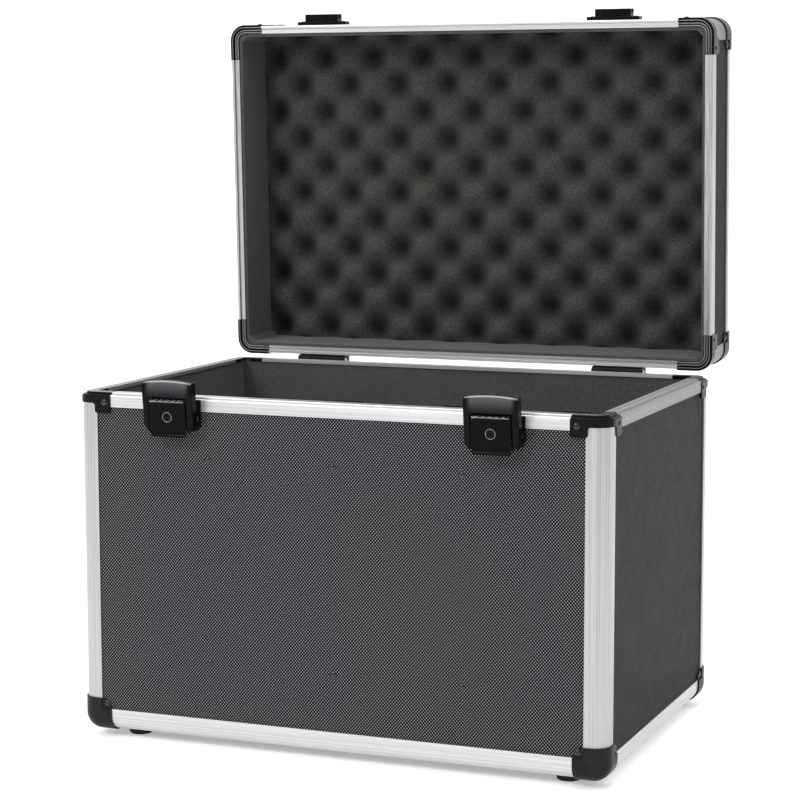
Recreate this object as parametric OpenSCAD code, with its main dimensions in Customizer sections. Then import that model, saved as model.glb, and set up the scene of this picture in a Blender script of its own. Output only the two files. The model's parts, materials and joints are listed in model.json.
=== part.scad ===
// Hard-sided carry case: laminated boards held in aluminium edges, with a hinged lid,
// two locking latches, a folding carry handle, a felt lining and a foam pad in the lid.
// The case stands on four rubber feet with its lid open. +X is to the right seen from
// the front, +Y to the back and +Z up. The origin is under the middle of the open case.

/* [Case] */
// Width over the aluminium edges, left to right
case_w = 520; // [460:1:640]
// Depth over the aluminium edges, front to back
case_d = 346; // [320:1:420]
// Height of the lower shell, from its underside to its rim
body_h = 324; // [290:1:400]
// Height of the lid, from its rim to its top
lid_h = 81; // [78:1:110]
// Angle between the open lid and its closed position
lid_open = 88; // [75:1:88]

/* [Aluminium edges] */
// Outer radius of the rounded edges
edge_r = 15; // [14:0.5:16]
// Width of an edge on each face, from the corner
edge_flange = 21; // [20:0.5:22]
// Wall thickness of the aluminium
skin_t = 1.5; // [1.2:0.1:1.8]
// Height of the lower shell's rim on the outside
rim_h = 13.4; // [12:0.1:15]
// Height of the lid's rim on the outside, above the tongue's top
lid_rim_h = 12.5; // [12:0.1:15]
// Width of the lower rim, from the outer face to its inner edge
rim_w = 14.3; // [14:0.1:15]
// Width of the lid's rim, from the outer face to its inner edge
lid_rim_w = 7.9; // [7.5:0.1:7.9]
// Height of the tongue on the lower rim, above its outer lip
rim_step = 2; // [1.8:0.1:2.5]

/* [Boards and lining] */
// Thickness of the laminated boards
panel_t = 4; // [3.5:0.1:4]
// Thickness of the lower shell's padded felt lining
lining_t = 5; // [4:0.1:5]
// Thickness of the lid's felt lining
lid_lining_t = 3; // [2.5:0.1:5]
// Depth of the lid below the face of the foam pad
foam_start = 50; // [46:1:60]

/* [Corner pieces] */
// Length of a ball corner's arms, from the corner
ball_arm = 31; // [28:1:34]
// Thickness of a ball corner
ball_t = 1.6; // [1.2:0.1:2]
// Length of a rim bracket's arms, from the corner
bracket_arm = 35; // [32:1:38]
// Height of a rim bracket's rivet tabs
bracket_h = 19.5; // [19:0.5:22]
// Height of a rim bracket where it turns the corner
bracket_turn_h = 10; // [9:0.5:12]
// Thickness of a rim bracket's outer band
bracket_t = 1.2; // [1:0.1:1.5]

/* [Feet] */
// Height of the rubber feet below the shell
foot_h = 8; // [6:0.5:12]
// Radius of a foot at its top
foot_r = 12; // [11:0.5:12]
// Distance of the feet from the side faces
foot_inset_x = 44.5; // [40:0.5:60]
// Distance of the feet from the front and back faces
foot_inset_y = 33.5; // [33.5:0.5:60]

/* [Latches] */
// Distance of the latches from the middle of the front
latch_x = 157.5; // [120:0.5:170]
// Width of a latch's claw plate
claw_w = 51; // [50:0.5:52]
// Width of a latch's lever
lever_w = 37; // [36:0.5:37]
// Angle of the released claws, outward from their latched position
claw_out = 6; // [5.5:0.5:8]

/* [Hinges and handle] */
// Distance of the hinges from the middle of the back
hinge_x = 163; // [120:1:170]
// Width of a hinge
hinge_w = 53; // [50:1:60]
// Length of the handle's grip
grip_w = 98; // [90:1:110]

/* [Divider rails] */
// Distance between the divider rails
rail_pitch = 125; // [100:1:130]
// Height of the rails' lower rivets above the underside
rail_rivet_low = 74.5; // [70:0.5:90]
// Height of the rails' upper rivets above the underside
rail_rivet_high = 266; // [220:0.5:270]

/* [Hidden] */
$fn = 64;

// Colours
aluminium = [0.86, 0.87, 0.88];
laminate = [0.2, 0.21, 0.22];
black_plastic = [0.12, 0.12, 0.13];
dark_plastic = [0.17, 0.18, 0.19];
felt = [0.15, 0.15, 0.14];
foam = [0.1, 0.1, 0.11];
rubber = [0.06, 0.06, 0.06];
steel = [0.6, 0.6, 0.62];

// Shared clearances and thin walls
play = 0.1;           // play between parts that are slid together
web_t = 1.2;          // thin inner walls of the aluminium profiles
shaft_play = 0.05;    // radial clearance of turning pins and of rivets in their holes
seam_gap = 0.3;       // gap between the two rims when the lid is closed
eps = 1;              // how far a cutting shape runs past the face it cuts

// Boards sit in the profiles' channels
half_w = case_w / 2;
half_d = case_d / 2;
panel_in = skin_t + panel_t;                  // depth of a board's inner face
channel_d = panel_in + play + web_t;          // depth of a channel's inner wall
panel_edge = edge_r + 2 * play;               // where a board's edge starts, from the corner
edge_end = edge_flange + 2 * play;            // where the straight edges start, from the corner
lining_in = channel_d + web_t;                // depth of the lining's back
lining_out = lining_in + lining_t;            // depth of the lining's face
lining_end = lining_in + 0.6;                 // where a long lining ends, from the corner
lining_low = lining_out + play;               // side linings stand on the floor lining
lining_high = body_h - skin_t - play;
lid_lining_out = lining_in + lid_lining_t;    // depth of the lid lining's face
lid_lining_low = skin_t + play;               // from the lid's mating face
lid_lining_high = lid_h - lining_in - play;

// Tongue of the lower rim and the lid's lip that closes over it
lip_w = 2.8;          // thickness of the lid's lip
tongue_x = 3.4;       // depth of the tongue's outer wall
tongue_soft = 1;      // rounding of the tongue's edge
lip_h = 3.4;          // height of the lower rim's inner lip
line_x = 9;           // fine line along the top of the lower rim
line_w = 0.8;
line_d = 0.5;

// Rivets
rivet_r = 1.6;        // shaft of a pop rivet
rivet_head_r = 3.1;
rivet_head_h = 1.2;
bracket_rivet_x = 29; // rim bracket's rivet, from the corner
bracket_rivet_z = 9;  // rim bracket's rivet, from the rim
tab_start = 19;       // where a rim bracket's rivet tab starts, from the corner
tab_round = 3;
post_end = edge_flange + play;                // where a rim bracket's full profile starts
ball_rivet = 26;      // ball corner's rivet, from the corner, both ways
tab_r = 10;           // radius of a ball corner's rivet tab
tab_proud = 0.2;      // how far a tab stands out from the edges' face
keeper_head_r = 2.6;  // flatter rivets of the keepers
keeper_head_h = 0.8;
rail_rivet_r = 2.4;
rail_head_r = 3.3;
rail_head_h = 1.3;

// Feet
screw_r = 2;
screw_head_r = 4;
screw_head_h = 2.4;
foot_bottom_r = foot_r - 1.5;
foot_taper_h = foot_h * 0.6;                  // height of the foot's tapered part
foot_recess_r = screw_head_r + 0.5;
foot_recess = 4;

// Rails
rail_end = 41;        // from the rails' ends to the shell's underside and top
rail_w = 34;
rail_t = 1.6;
rail_d = 11;
rail_slot = 7;
rail_low = rail_end;
rail_high = body_h - rail_end;
rail_tail_r = 3.2;    // rivets' flat heads inside the rails
rail_tail_h = 0.8;

// Hinges
knuckle_r = 3.8;
hinge_pin_r = 1.5;
leaf_t = 1.5;
leaf_h = 34;
leaf_gap = 3.2;       // from a leaf's plate to the mating face
leaf_tab_h = 5;       // strip that joins a knuckle to its leaf
leaf_rivet_x = 18;    // rivets, from the hinge's middle
leaf_rivet_z = 26;    // rivets, from the mating face
hinge_y = half_d + knuckle_r + 0.4;
hinge_z = body_h + seam_gap / 2;
hinge_mid = 22;       // length of the lid leaf's middle knuckle
knuckle_half = hinge_mid / 2;
knuckle_gap = 0.4;
stop_w = 4;
stop_reach = 12;      // how far the stop arms reach back from the hinge pin
stop_root = 14;       // height of the stop arms' foot on the leaf
stop_gap = 0.6;       // from the stop arms to the knuckles
stop_play = 0.2;      // from the stop arms to the open lid's leaf

// Keepers, in the lid's own height above its mating face
keeper_w = 54;
keeper_mid_w = 37;
keeper_low = 2;
keeper_high = 14;
keeper_base_t = 3.4;
keeper_reach = 11;
keeper_groove = [5.5, 10.5];
keeper_groove_d = 3.8;
keeper_mid_inset = 0.5;                       // how far the raised middle stays inside
keeper_rivet_x = 22.5;
keeper_rivet_z = keeper_low + 6;

// Latches: heights are above the shell's underside, y is outward from the rim's face
base_w = 54;
base_low = 292;
base_high = body_h - rim_step - 0.4;
base_t = 1.5;
base_corner_r = 8;
base_rivet_x = 22;    // rivets, from the latch's middle
base_rivet_z = base_low + 12;
ear_in = 13;          // base's ears, from the latch's middle
ear_out = 17;
ear_r = 3;
claw_pin_y = -6.5;
claw_pin_z = 298;
claw_pin_r = 1.5;
claw_low = 292;
claw_top = 340.6;
claw_face = -13.5;
claw_t = 1.9;
claw_side_t = 1.6;
claw_rear = -4;
claw_cheek_low = claw_low + 3;
claw_ear_in = 19.2;   // claw's ears, from the latch's middle
pin_half = 23.6;      // half the length of the claw's pin
claw_back = claw_face + claw_t;
lip_z = 331;
lip_t = 2.2;
lip_tip = -8;
lip_half = keeper_mid_w / 2 - 2;
lever_pin_y = -11.6;
lever_pin_z = 320.2;
lever_pin_r = 1.2;
lever_knuckle_r = 2.7;
lever_face = lever_pin_y - lever_knuckle_r;
lever_low = 288;
lever_t = 2.5;
lever_gap = 0.4;
lug_d = 4.5;          // depth of the claw's lugs round the lever's pin
finger_out = 1.2;     // finger edge along the lever's lower end
finger_h = 2.5;
window_top = lever_pin_z + lever_knuckle_r + lever_gap;
window_half = lever_w / 2 + lever_gap;
lever_pin_half = claw_w / 2 - claw_side_t - 0.5;
lock_z = 307;
lock_r = 4.6;
lock_boss_r = 6.2;
lock_boss_y = -5;     // rear end of the lever's boss
lock_back_y = -4.8;   // rear end of the lock plug
lock_proud = 0.6;     // how far the plug stands out from the lever
lock_cam = [5, 1.2, 10];
key_slot = [1.2, 3, 6];

// Handle, in the lid's own coordinates
top_face = lid_h - skin_t;                    // outer face of the lid's top board
bracket_base_t = 2;
handle_pin_z = top_face + 8;
handle_pin_r = 2;
arm_w = 5;
arm_r = 4.6;
arm_x = grip_w / 2 + arm_w;                   // inner face of an arm
ear_t = 4;
ear_gap = 0.5;
grip_r = 6.4;
grip_y = 30;
grip_flat = 9;
ear_in_x = arm_x - ear_gap - ear_t;           // inner ear's inner face
ear_out_x = arm_x + arm_w + ear_gap;          // outer ear's inner face
bracket_x0 = ear_in_x;
bracket_x1 = ear_out_x + ear_t;
bracket_half_y = 17;
handle_rivet_y = 12;

// The model is shifted so that its origin is under the middle of the open case
front_reach = -half_d - sin(claw_out) * (claw_top - claw_pin_z) + claw_face * cos(claw_out)
    + claw_pin_y * (1 - cos(claw_out));
back_reach = hinge_y + (grip_y + grip_flat / 2 - hinge_y) * cos(lid_open)
    + (handle_pin_z + seam_gap / 2) * sin(lid_open) + grip_r;
y_shift = -(front_reach + back_reach) / 2;

// ---------- placing ----------

// From the shell's own frame (underside at z = 0) to the row's frame
module in_body() {
    translate([0, y_shift, foot_h])
        children();
}

// From the lid's own frame (mating face at z = 0) to the open lid
module in_lid() {
    in_body()
        translate([0, hinge_y, hinge_z])
            rotate([-lid_open, 0, 0])
                translate([0, -hinge_y, body_h + seam_gap - hinge_z])
                    children();
}

// From a latch's frame (x from its middle, y from the rim's face) to a released claw
module in_claw(side) {
    in_body()
        translate([side * latch_x, claw_pin_y - half_d, claw_pin_z])
            rotate([claw_out, 0, 0])
                translate([0, -claw_pin_y, -claw_pin_z])
                    children();
}

// From a side's frame (x along the side, y up, z outward from the edges' face)
module on_side(angle, dist) {
    rotate([0, 0, angle])
        translate([0, -dist, 0])
            rotate([90, 0, 0])
                children();
}

// Each of the four corners, for a piece drawn at the left front corner
module four_corners() {
    for (mx = [0, 1]) {
        for (my = [0, 1]) {
            mirror([mx, 0, 0])
                mirror([0, my, 0])
                    translate([-half_w, -half_d, 0])
                        children();
        }
    }
}

// A lower piece seen in the lid: turned over so that it points down from the top
module flip_to_top() {
    translate([0, 0, lid_h])
        mirror([0, 0, 1])
            children();
}

// ---------- shared profiles ----------

// Rounded edge profile: outer corner at the origin, a channel for a board on each side
module edge_leg() {
    translate([edge_r, 0])
        square([edge_flange - edge_r, skin_t]);
    translate([edge_r - web_t, skin_t / 2])
        square([web_t, channel_d - skin_t / 2]);
    translate([edge_r - web_t, channel_d - web_t])
        square([edge_flange - edge_r + web_t, web_t]);
}

module edge_profile() {
    difference() {
        intersection() {
            translate([edge_r, edge_r])
                circle(r = edge_r);
            square([edge_r, edge_r]);
        }
        translate([edge_r, edge_r])
            circle(r = edge_r - skin_t);
    }
    edge_leg();
    mirror([1, -1])
        edge_leg();
}

// Rim profiles: x is the depth from the outer face, y the height, tongue's top at y = 0.
// Outer wall of a rim with its rounded edge, up to the given lip
module rim_wall(height, lip) {
    translate([0, -height])
        square([skin_t, height + lip - skin_t]);
    intersection() {
        translate([skin_t, lip - skin_t])
            circle(r = skin_t);
        translate([0, lip - skin_t])
            square([skin_t, skin_t]);
    }
}

// Inner wall of the channel that holds a board
module channel_web(height, top) {
    translate([panel_in + play, -height + 1])
        square([web_t, height - 1 + top]);
}

// Stepped top of the lower rim: its ledge and the tongue, out to the given depths
module tongue_profile(ledge_end, top_end) {
    translate([skin_t, -rim_step - skin_t])
        square([ledge_end - skin_t, skin_t]);
    translate([tongue_x, -rim_step - skin_t])
        square([skin_t, rim_step + skin_t - tongue_soft]);
    translate([tongue_x + tongue_soft, -tongue_soft])
        circle(r = tongue_soft);
    translate([tongue_x + tongue_soft, -skin_t])
        square([top_end - tongue_x - tongue_soft, skin_t]);
}

module lower_rim_profile() {
    difference() {
        union() {
            rim_wall(rim_h, -rim_step);
            channel_web(rim_h, -rim_step);
            tongue_profile(channel_d, rim_w);
            translate([rim_w - web_t, -lip_h])
                square([web_t, lip_h]);
        }
        translate([line_x, -line_d])
            square([line_w, line_d + eps]);
    }
}

// Lip of the lid's rim, the flat face behind it and the fine groove between them
module lid_lip_profile(height) {
    rim_wall(height, rim_step);
    translate([skin_t, 0])
        square([lip_w - skin_t, rim_step]);
    difference() {
        translate([skin_t, -skin_t])
            square([lid_rim_w - skin_t, skin_t]);
        translate([lip_w, -line_d])
            square([line_w, line_d + eps]);
    }
}

module lid_rim_profile() {
    lid_lip_profile(lid_rim_h);
    channel_web(lid_rim_h, 0);
}

module rim_profile(lower) {
    if (lower) {
        lower_rim_profile();
    } else {
        lid_rim_profile();
    }
}

// Outer band of a rim bracket
module band_profile(lower) {
    top = lower ? -rim_step : rim_step;
    translate([-bracket_t, -bracket_turn_h])
        square([bracket_t, bracket_turn_h + top - skin_t]);
}

// Rim bracket profile above a corner post: a low wall and no channel
module bracket_turn_profile(lower) {
    band_profile(lower);
    if (lower) {
        rim_wall(bracket_turn_h, -rim_step);
        tongue_profile(tongue_x + skin_t, rim_w);
    } else {
        lid_lip_profile(bracket_turn_h);
    }
}

module bracket_profile(lower) {
    band_profile(lower);
    rim_profile(lower);
}

// Outline of a rim bracket's rivet tab, with a hollow corner against the band
module tab_outline() {
    translate([tab_start, -bracket_h + tab_round])
        square([bracket_arm - tab_start, bracket_h - bracket_turn_h]);
    translate([tab_start + tab_round, -bracket_h])
        square([bracket_arm - tab_start - 2 * tab_round, tab_round]);
    for (x = [tab_start + tab_round, bracket_arm - tab_round]) {
        translate([x, -bracket_h + tab_round])
            circle(r = tab_round);
    }
    difference() {
        translate([tab_start - tab_round, -bracket_turn_h - tab_round])
            square(tab_round);
        translate([tab_start - tab_round, -bracket_turn_h - tab_round])
            circle(r = tab_round);
    }
}

// Straight length of a profile along X (front) or Y (side), profile x pointing inward
module along_x(length) {
    rotate([90, 0, 90])
        linear_extrude(height = length)
            children();
}

module along_y(length) {
    translate([0, length, 0])
        rotate([90, 0, 0])
            linear_extrude(height = length)
                children();
}

// ---------- shared pieces ----------

// Domed rivet standing on z = 0 with its shaft below
module rivet(shaft_r, head_r, head_h, length) {
    dome_r = (head_r * head_r + head_h * head_h) / (2 * head_h);
    translate([0, 0, -length])
        cylinder(r = shaft_r, h = length + head_h / 2);
    intersection() {
        translate([0, 0, head_h - dome_r])
            sphere(r = dome_r);
        cylinder(r = head_r + eps, h = head_h + eps);
    }
}

module pop_rivet(length) {
    rivet(rivet_r, rivet_head_r, rivet_head_h, length);
}

// Clearance holes through a board at the given places
module drill(points, radius) {
    for (p = points) {
        translate([p[0], p[1], -panel_in - eps])
            cylinder(r = radius + shaft_play, h = panel_in + 2 * eps);
    }
}

// Places of rivets on a side, from the side's middle and the lower edge
function corner_places(half) = [for (s = [-1, 1]) [s * (half - ball_rivet), ball_rivet]];
function bracket_places(half, high) = [for (s = [-1, 1])
    [s * (half - bracket_rivet_x), high - bracket_rivet_z]];
function rail_places() = [for (s = [-1, 0, 1]) for (z = [rail_rivet_low, rail_rivet_high])
    [s * rail_pitch, z]];
function base_places() = [for (s = [-1, 1]) for (u = [-base_rivet_x, base_rivet_x])
    [s * latch_x + u, base_rivet_z]];
function body_leaf_places() = [for (s = [-1, 1]) for (u = [-leaf_rivet_x, leaf_rivet_x])
    [s * hinge_x + u, body_h - leaf_rivet_z]];
function lid_leaf_places() = [for (s = [-1, 1]) for (u = [-leaf_rivet_x, leaf_rivet_x])
    [s * hinge_x + u, leaf_rivet_z]];
function lid_corner_places(half) = [for (p = corner_places(half)) [p[0], lid_h - p[1]]];
function lid_bracket_places(half) = [for (s = [-1, 1]) [s * (half - bracket_rivet_x), bracket_rivet_z]];
function keeper_places() = [for (s = [-1, 1]) for (u = [-keeper_rivet_x, keeper_rivet_x])
    [s * latch_x + u, keeper_rivet_z]];
function handle_rivet_places() = [for (s = [-1, 1]) for (y = [-handle_rivet_y, handle_rivet_y])
    [s * (bracket_x0 + bracket_x1) / 2, y]];
function foot_places() = [for (sx = [-1, 1]) for (sy = [-1, 1])
    [sx * (half_w - foot_inset_x), sy * (half_d - foot_inset_y)]];

// Board of the lower shell in a side's frame
module side_board(half, low, high) {
    translate([-half + panel_edge, low, -panel_in])
        cube([2 * (half - panel_edge), high - low, panel_t]);
}

// Level board at the bottom or top, drawn for the bottom
module level_board() {
    translate([-half_w + panel_edge, -half_d + panel_edge, skin_t])
        cube([case_w - 2 * panel_edge, case_d - 2 * panel_edge, panel_t]);
}

// Quarter ring that wraps the outside of a rounded edge, corner at the origin
module wrap_section() {
    difference() {
        intersection() {
            translate([edge_r, edge_r])
                circle(r = edge_r + ball_t);
            translate([-ball_t, -ball_t])
                square(edge_r + ball_t);
        }
        translate([edge_r, edge_r])
            circle(r = edge_r);
    }
}

// Quarter-round sleeve of a ball corner along +X
module ball_sleeve() {
    translate([edge_r, 0, 0])
        along_x(ball_arm - edge_r)
            wrap_section();
}

// Spherical shell that closes the corner
module ball_cap() {
    translate([edge_r, edge_r, edge_r])
        rotate([0, 0, 180])
            rotate_extrude(angle = 90)
                translate([edge_r, -edge_r])
                    mirror([1, 0])
                        wrap_section();
}

// Flat plate of a ball corner on the bottom face, with its rivet tab
module ball_plate() {
    translate([edge_r, edge_r, -ball_t])
        cube([ball_arm - edge_r, edge_flange - edge_r, ball_t]);
    translate([edge_r, edge_r, -ball_t])
        cube([edge_flange - edge_r, ball_arm - edge_r, ball_t]);
    difference() {
        translate([edge_flange, edge_flange, -tab_proud])
            cylinder(r = tab_r, h = skin_t + tab_proud);
        translate([0, 0, -eps])
            cube([edge_flange, edge_flange + tab_r + eps, skin_t + 2 * eps]);
        translate([0, 0, -eps])
            cube([edge_flange + tab_r + eps, edge_flange, skin_t + 2 * eps]);
        translate([ball_rivet, ball_rivet, -eps])
            cylinder(r = rivet_r + shaft_play, h = skin_t + 2 * eps);
    }
}

// The three ways round that turn the bottom piece to the left and front faces
module each_axis() {
    children();
    rotate([90, 0, 90])
        children();
    rotate([0, -90, -90])
        children();
}

module ball_corner() {
    ball_cap();
    each_axis() {
        ball_sleeve();
        ball_plate();
    }
}

// Rivet tab of a rim bracket's front arm; below the rim it reaches in to the board
module bracket_tab(lower) {
    wall_h = lower ? rim_h : lid_rim_h;
    rotate([90, 0, 0])
        linear_extrude(height = bracket_t)
            tab_outline();
    intersection() {
        translate([0, skin_t, 0])
            rotate([90, 0, 0])
                linear_extrude(height = skin_t + bracket_t)
                    tab_outline();
        translate([post_end, -bracket_t, -bracket_h])
            cube([bracket_arm - post_end, skin_t + bracket_t, bracket_h - wall_h]);
    }
}

// Front arm of a rim bracket at the left front corner, mating face at z = 0
module bracket_front_arm(lower) {
    difference() {
        union() {
            translate([edge_r, 0, 0])
                along_x(post_end - edge_r)
                    bracket_turn_profile(lower);
            translate([post_end, 0, 0])
                along_x(bracket_arm - post_end)
                    bracket_profile(lower);
            bracket_tab(lower);
        }
        translate([bracket_rivet_x, -bracket_t - eps, -bracket_rivet_z])
            rotate([-90, 0, 0])
                cylinder(r = rivet_r + shaft_play, h = channel_d + bracket_t + 2 * eps);
    }
}

// L-shaped rim bracket: two arms and the turn between them
module rim_bracket(lower) {
    bracket_front_arm(lower);
    mirror([1, -1, 0])
        bracket_front_arm(lower);
    translate([edge_r, edge_r, 0])
        rotate([0, 0, 180])
            rotate_extrude(angle = 90)
                translate([edge_r, 0])
                    mirror([1, 0])
                        bracket_turn_profile(lower);
}

// ---------- lower shell ----------

module bottom_panel() {
    color(laminate)
        in_body()
            difference() {
                level_board();
                for (p = foot_places()) {
                    translate([p[0], p[1], 0])
                        cylinder(r = screw_r + shaft_play, h = panel_in + eps);
                }
                four_corners()
                    translate([ball_rivet, ball_rivet, 0])
                        cylinder(r = rivet_r + shaft_play, h = panel_in + eps);
            }
}

module shell_board(angle, dist, half, places, rail_holes) {
    color(laminate)
        in_body()
            on_side(angle, dist)
                difference() {
                    side_board(half, panel_edge, body_h - rim_step - skin_t - play);
                    drill(concat(corner_places(half), bracket_places(half, body_h), places), rivet_r);
                    drill(rail_holes, rail_rivet_r);
                }
}

module front_panel() {
    shell_board(0, half_d, half_w, base_places(), rail_places());
}

module back_panel() {
    shell_board(180, half_d, half_w, body_leaf_places(), rail_places());
}

module left_panel() {
    shell_board(270, half_w, half_d, [], []);
}

module right_panel() {
    shell_board(90, half_w, half_d, [], []);
}

module corner_posts() {
    color(aluminium)
        in_body()
            four_corners()
                translate([0, 0, edge_end])
                    linear_extrude(height = body_h - bracket_turn_h - play - edge_end)
                        edge_profile();
}

// Two long edges at the bottom, front and back
module long_edges() {
    for (my = [0, 1]) {
        mirror([0, my, 0])
            translate([-half_w + edge_end, -half_d, 0])
                along_x(case_w - 2 * edge_end)
                    edge_profile();
    }
}

// Two short edges at the bottom, left and right
module short_edges() {
    for (mx = [0, 1]) {
        mirror([mx, 0, 0])
            translate([-half_w, -half_d + edge_end, 0])
                along_y(case_d - 2 * edge_end)
                    edge_profile();
    }
}

module bottom_edges_long() {
    color(aluminium)
        in_body()
            long_edges();
}

module bottom_edges_short() {
    color(aluminium)
        in_body()
            short_edges();
}

// One front rim length, and one left rim length, mating face at z = 0
module front_rim(lower) {
    translate([-half_w + bracket_arm + play, -half_d, 0])
        along_x(case_w - 2 * (bracket_arm + play))
            rim_profile(lower);
}

module left_rim(lower) {
    translate([-half_w, -half_d + bracket_arm + play, 0])
        along_y(case_d - 2 * (bracket_arm + play))
            rim_profile(lower);
}

module at_rim() {
    color(aluminium)
        in_body()
            translate([0, 0, body_h])
                children();
}

module rim_front() {
    at_rim()
        front_rim(true);
}

module rim_back() {
    at_rim()
        mirror([0, 1, 0])
            front_rim(true);
}

module rim_left() {
    at_rim()
        left_rim(true);
}

module rim_right() {
    at_rim()
        mirror([1, 0, 0])
            left_rim(true);
}

module rim_brackets() {
    color(black_plastic)
        in_body()
            translate([0, 0, body_h])
                four_corners()
                    rim_bracket(true);
}

module ball_corners() {
    color(dark_plastic)
        in_body()
            four_corners()
                ball_corner();
}

module feet() {
    color(rubber)
        in_body()
            for (p = foot_places()) {
                translate([p[0], p[1], -foot_h])
                    rotate_extrude()
                        polygon([
                            [foot_recess_r, 0], [foot_bottom_r, 0], [foot_r, foot_taper_h],
                            [foot_r, foot_h + skin_t], [screw_r + shaft_play, foot_h + skin_t],
                            [screw_r + shaft_play, foot_recess], [foot_recess_r, foot_recess]]);
            }
}

module foot_screws() {
    color(steel)
        in_body()
            for (p = foot_places()) {
                translate([p[0], p[1], -foot_h + foot_recess - screw_head_h])
                    cylinder(r = screw_head_r, h = screw_head_h);
                translate([p[0], p[1], -foot_h + foot_recess - eps])
                    cylinder(r = screw_r, h = foot_h - foot_recess + panel_in + eps);
            }
}

// Rivets on one side of the lower shell
module side_rivets(half) {
    for (p = corner_places(half)) {
        translate([p[0], p[1], tab_proud])
            pop_rivet(panel_in + tab_proud);
    }
    for (p = bracket_places(half, body_h)) {
        translate([p[0], p[1], bracket_t])
            pop_rivet(panel_in + bracket_t);
    }
}

module body_rivets() {
    color(steel)
        in_body() {
            for (a = [0, 180]) {
                on_side(a, half_d)
                    side_rivets(half_w);
            }
            for (a = [90, 270]) {
                on_side(a, half_w)
                    side_rivets(half_d);
            }
            on_side(0, half_d)
                for (p = base_places()) {
                    translate([p[0], p[1], base_t])
                        pop_rivet(panel_in + base_t);
                }
            on_side(180, half_d)
                for (p = body_leaf_places()) {
                    translate([p[0], p[1], leaf_t])
                        pop_rivet(panel_in + leaf_t);
                }
            four_corners()
                translate([ball_rivet, ball_rivet, -tab_proud])
                    mirror([0, 0, 1])
                        pop_rivet(panel_in + tab_proud);
        }
}

// Rivets that hold the divider rails, with a domed head outside and a flat one inside
module rail_rivets() {
    color(black_plastic)
        in_body()
            for (a = [0, 180]) {
                on_side(a, half_d)
                    for (p = rail_places()) {
                        translate([p[0], p[1], -skin_t])
                            rivet(rail_rivet_r, rail_head_r, rail_head_h, lining_out + rail_t - skin_t);
                        translate([p[0], p[1], -lining_out - rail_t - rail_tail_h])
                            cylinder(r = rail_tail_r, h = rail_tail_h);
                    }
            }
}

module rail_section() {
    translate([-rail_w / 2, 0])
        square([rail_w, rail_t]);
    for (s = [-1, 1]) {
        translate([s * (rail_slot + rail_t) / 2 - rail_t / 2, 0])
            square([rail_t, rail_d]);
    }
}

module divider_rails() {
    color(black_plastic)
        in_body()
            for (a = [0, 180]) {
                rotate([0, 0, a])
                    for (s = [-1, 0, 1]) {
                        difference() {
                            translate([s * rail_pitch, -half_d + lining_out, rail_low])
                                linear_extrude(height = rail_high - rail_low)
                                    rail_section();
                            for (z = [rail_rivet_low, rail_rivet_high]) {
                                translate([s * rail_pitch, -half_d + lining_out - eps, z])
                                    rotate([-90, 0, 0])
                                        cylinder(r = rail_rivet_r + shaft_play, h = rail_t + 2 * eps);
                            }
                        }
                    }
            }
}

module wall_linings() {
    color(felt)
        in_body() {
            for (a = [0, 180]) {
                on_side(a, half_d)
                    difference() {
                        translate([-half_w + lining_end, lining_low, -lining_out])
                            cube([case_w - 2 * lining_end, lining_high - lining_low, lining_t]);
                        for (p = rail_places()) {
                            translate([p[0], p[1], -lining_out - eps])
                                cylinder(r = rail_rivet_r + shaft_play, h = lining_t + 2 * eps);
                        }
                    }
            }
            for (a = [90, 270]) {
                on_side(a, half_w)
                    translate([-half_d + lining_out + play, lining_low, -lining_out])
                        cube([case_d - 2 * (lining_out + play), lining_high - lining_low, lining_t]);
            }
        }
}

module floor_lining() {
    color(felt)
        in_body()
            translate([-half_w + lining_in, -half_d + lining_in, lining_in])
                cube([case_w - 2 * lining_in, case_d - 2 * lining_in, lining_t]);
}

// ---------- latches ----------

// Outline of a latch base, rounded at its lower corners
module base_outline() {
    translate([-base_w / 2, base_low + base_corner_r])
        square([base_w, base_high - base_low - base_corner_r]);
    translate([-base_w / 2 + base_corner_r, base_low])
        square([base_w - 2 * base_corner_r, base_corner_r]);
    for (s = [-1, 1]) {
        translate([s * (base_w / 2 - base_corner_r), base_low + base_corner_r])
            circle(r = base_corner_r);
    }
}

// Pair of ears round the claw's pin, from x0 to x1 on both sides, joined to a plate at wall_y
module pin_ears(x0, x1, wall_y) {
    for (m = [0, 1]) {
        mirror([m, 0, 0]) {
            translate([x0, claw_pin_y, claw_pin_z])
                rotate([0, 90, 0])
                    cylinder(r = ear_r, h = x1 - x0);
            translate([x0, min(wall_y, claw_pin_y), claw_pin_z - ear_r])
                cube([x1 - x0, abs(wall_y - claw_pin_y), 2 * ear_r]);
        }
    }
}

module claw_bore(radius) {
    translate([-base_w / 2 - eps, claw_pin_y, claw_pin_z])
        rotate([0, 90, 0])
            cylinder(r = radius, h = base_w + 2 * eps);
}

module latch_base(side) {
    color(black_plastic)
        in_body()
            translate([side * latch_x, -half_d, 0])
                difference() {
                    union() {
                        rotate([90, 0, 0])
                            linear_extrude(height = base_t)
                                base_outline();
                        intersection() {
                            translate([0, skin_t, 0])
                                rotate([90, 0, 0])
                                    linear_extrude(height = skin_t + base_t)
                                        base_outline();
                            translate([-base_w / 2, -eps, base_low])
                                cube([base_w, skin_t + eps, body_h - rim_h - play - base_low]);
                        }
                        pin_ears(ear_in, ear_out, -base_t);
                    }
                    claw_bore(claw_pin_r + shaft_play / 2);
                    for (u = [-base_rivet_x, base_rivet_x]) {
                        translate([u, skin_t + eps, base_rivet_z])
                            rotate([90, 0, 0])
                                cylinder(r = rivet_r + shaft_play, h = skin_t + base_t + 2 * eps);
                    }
                }
}

module latch_base_left() {
    latch_base(-1);
}

module latch_base_right() {
    latch_base(1);
}

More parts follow.
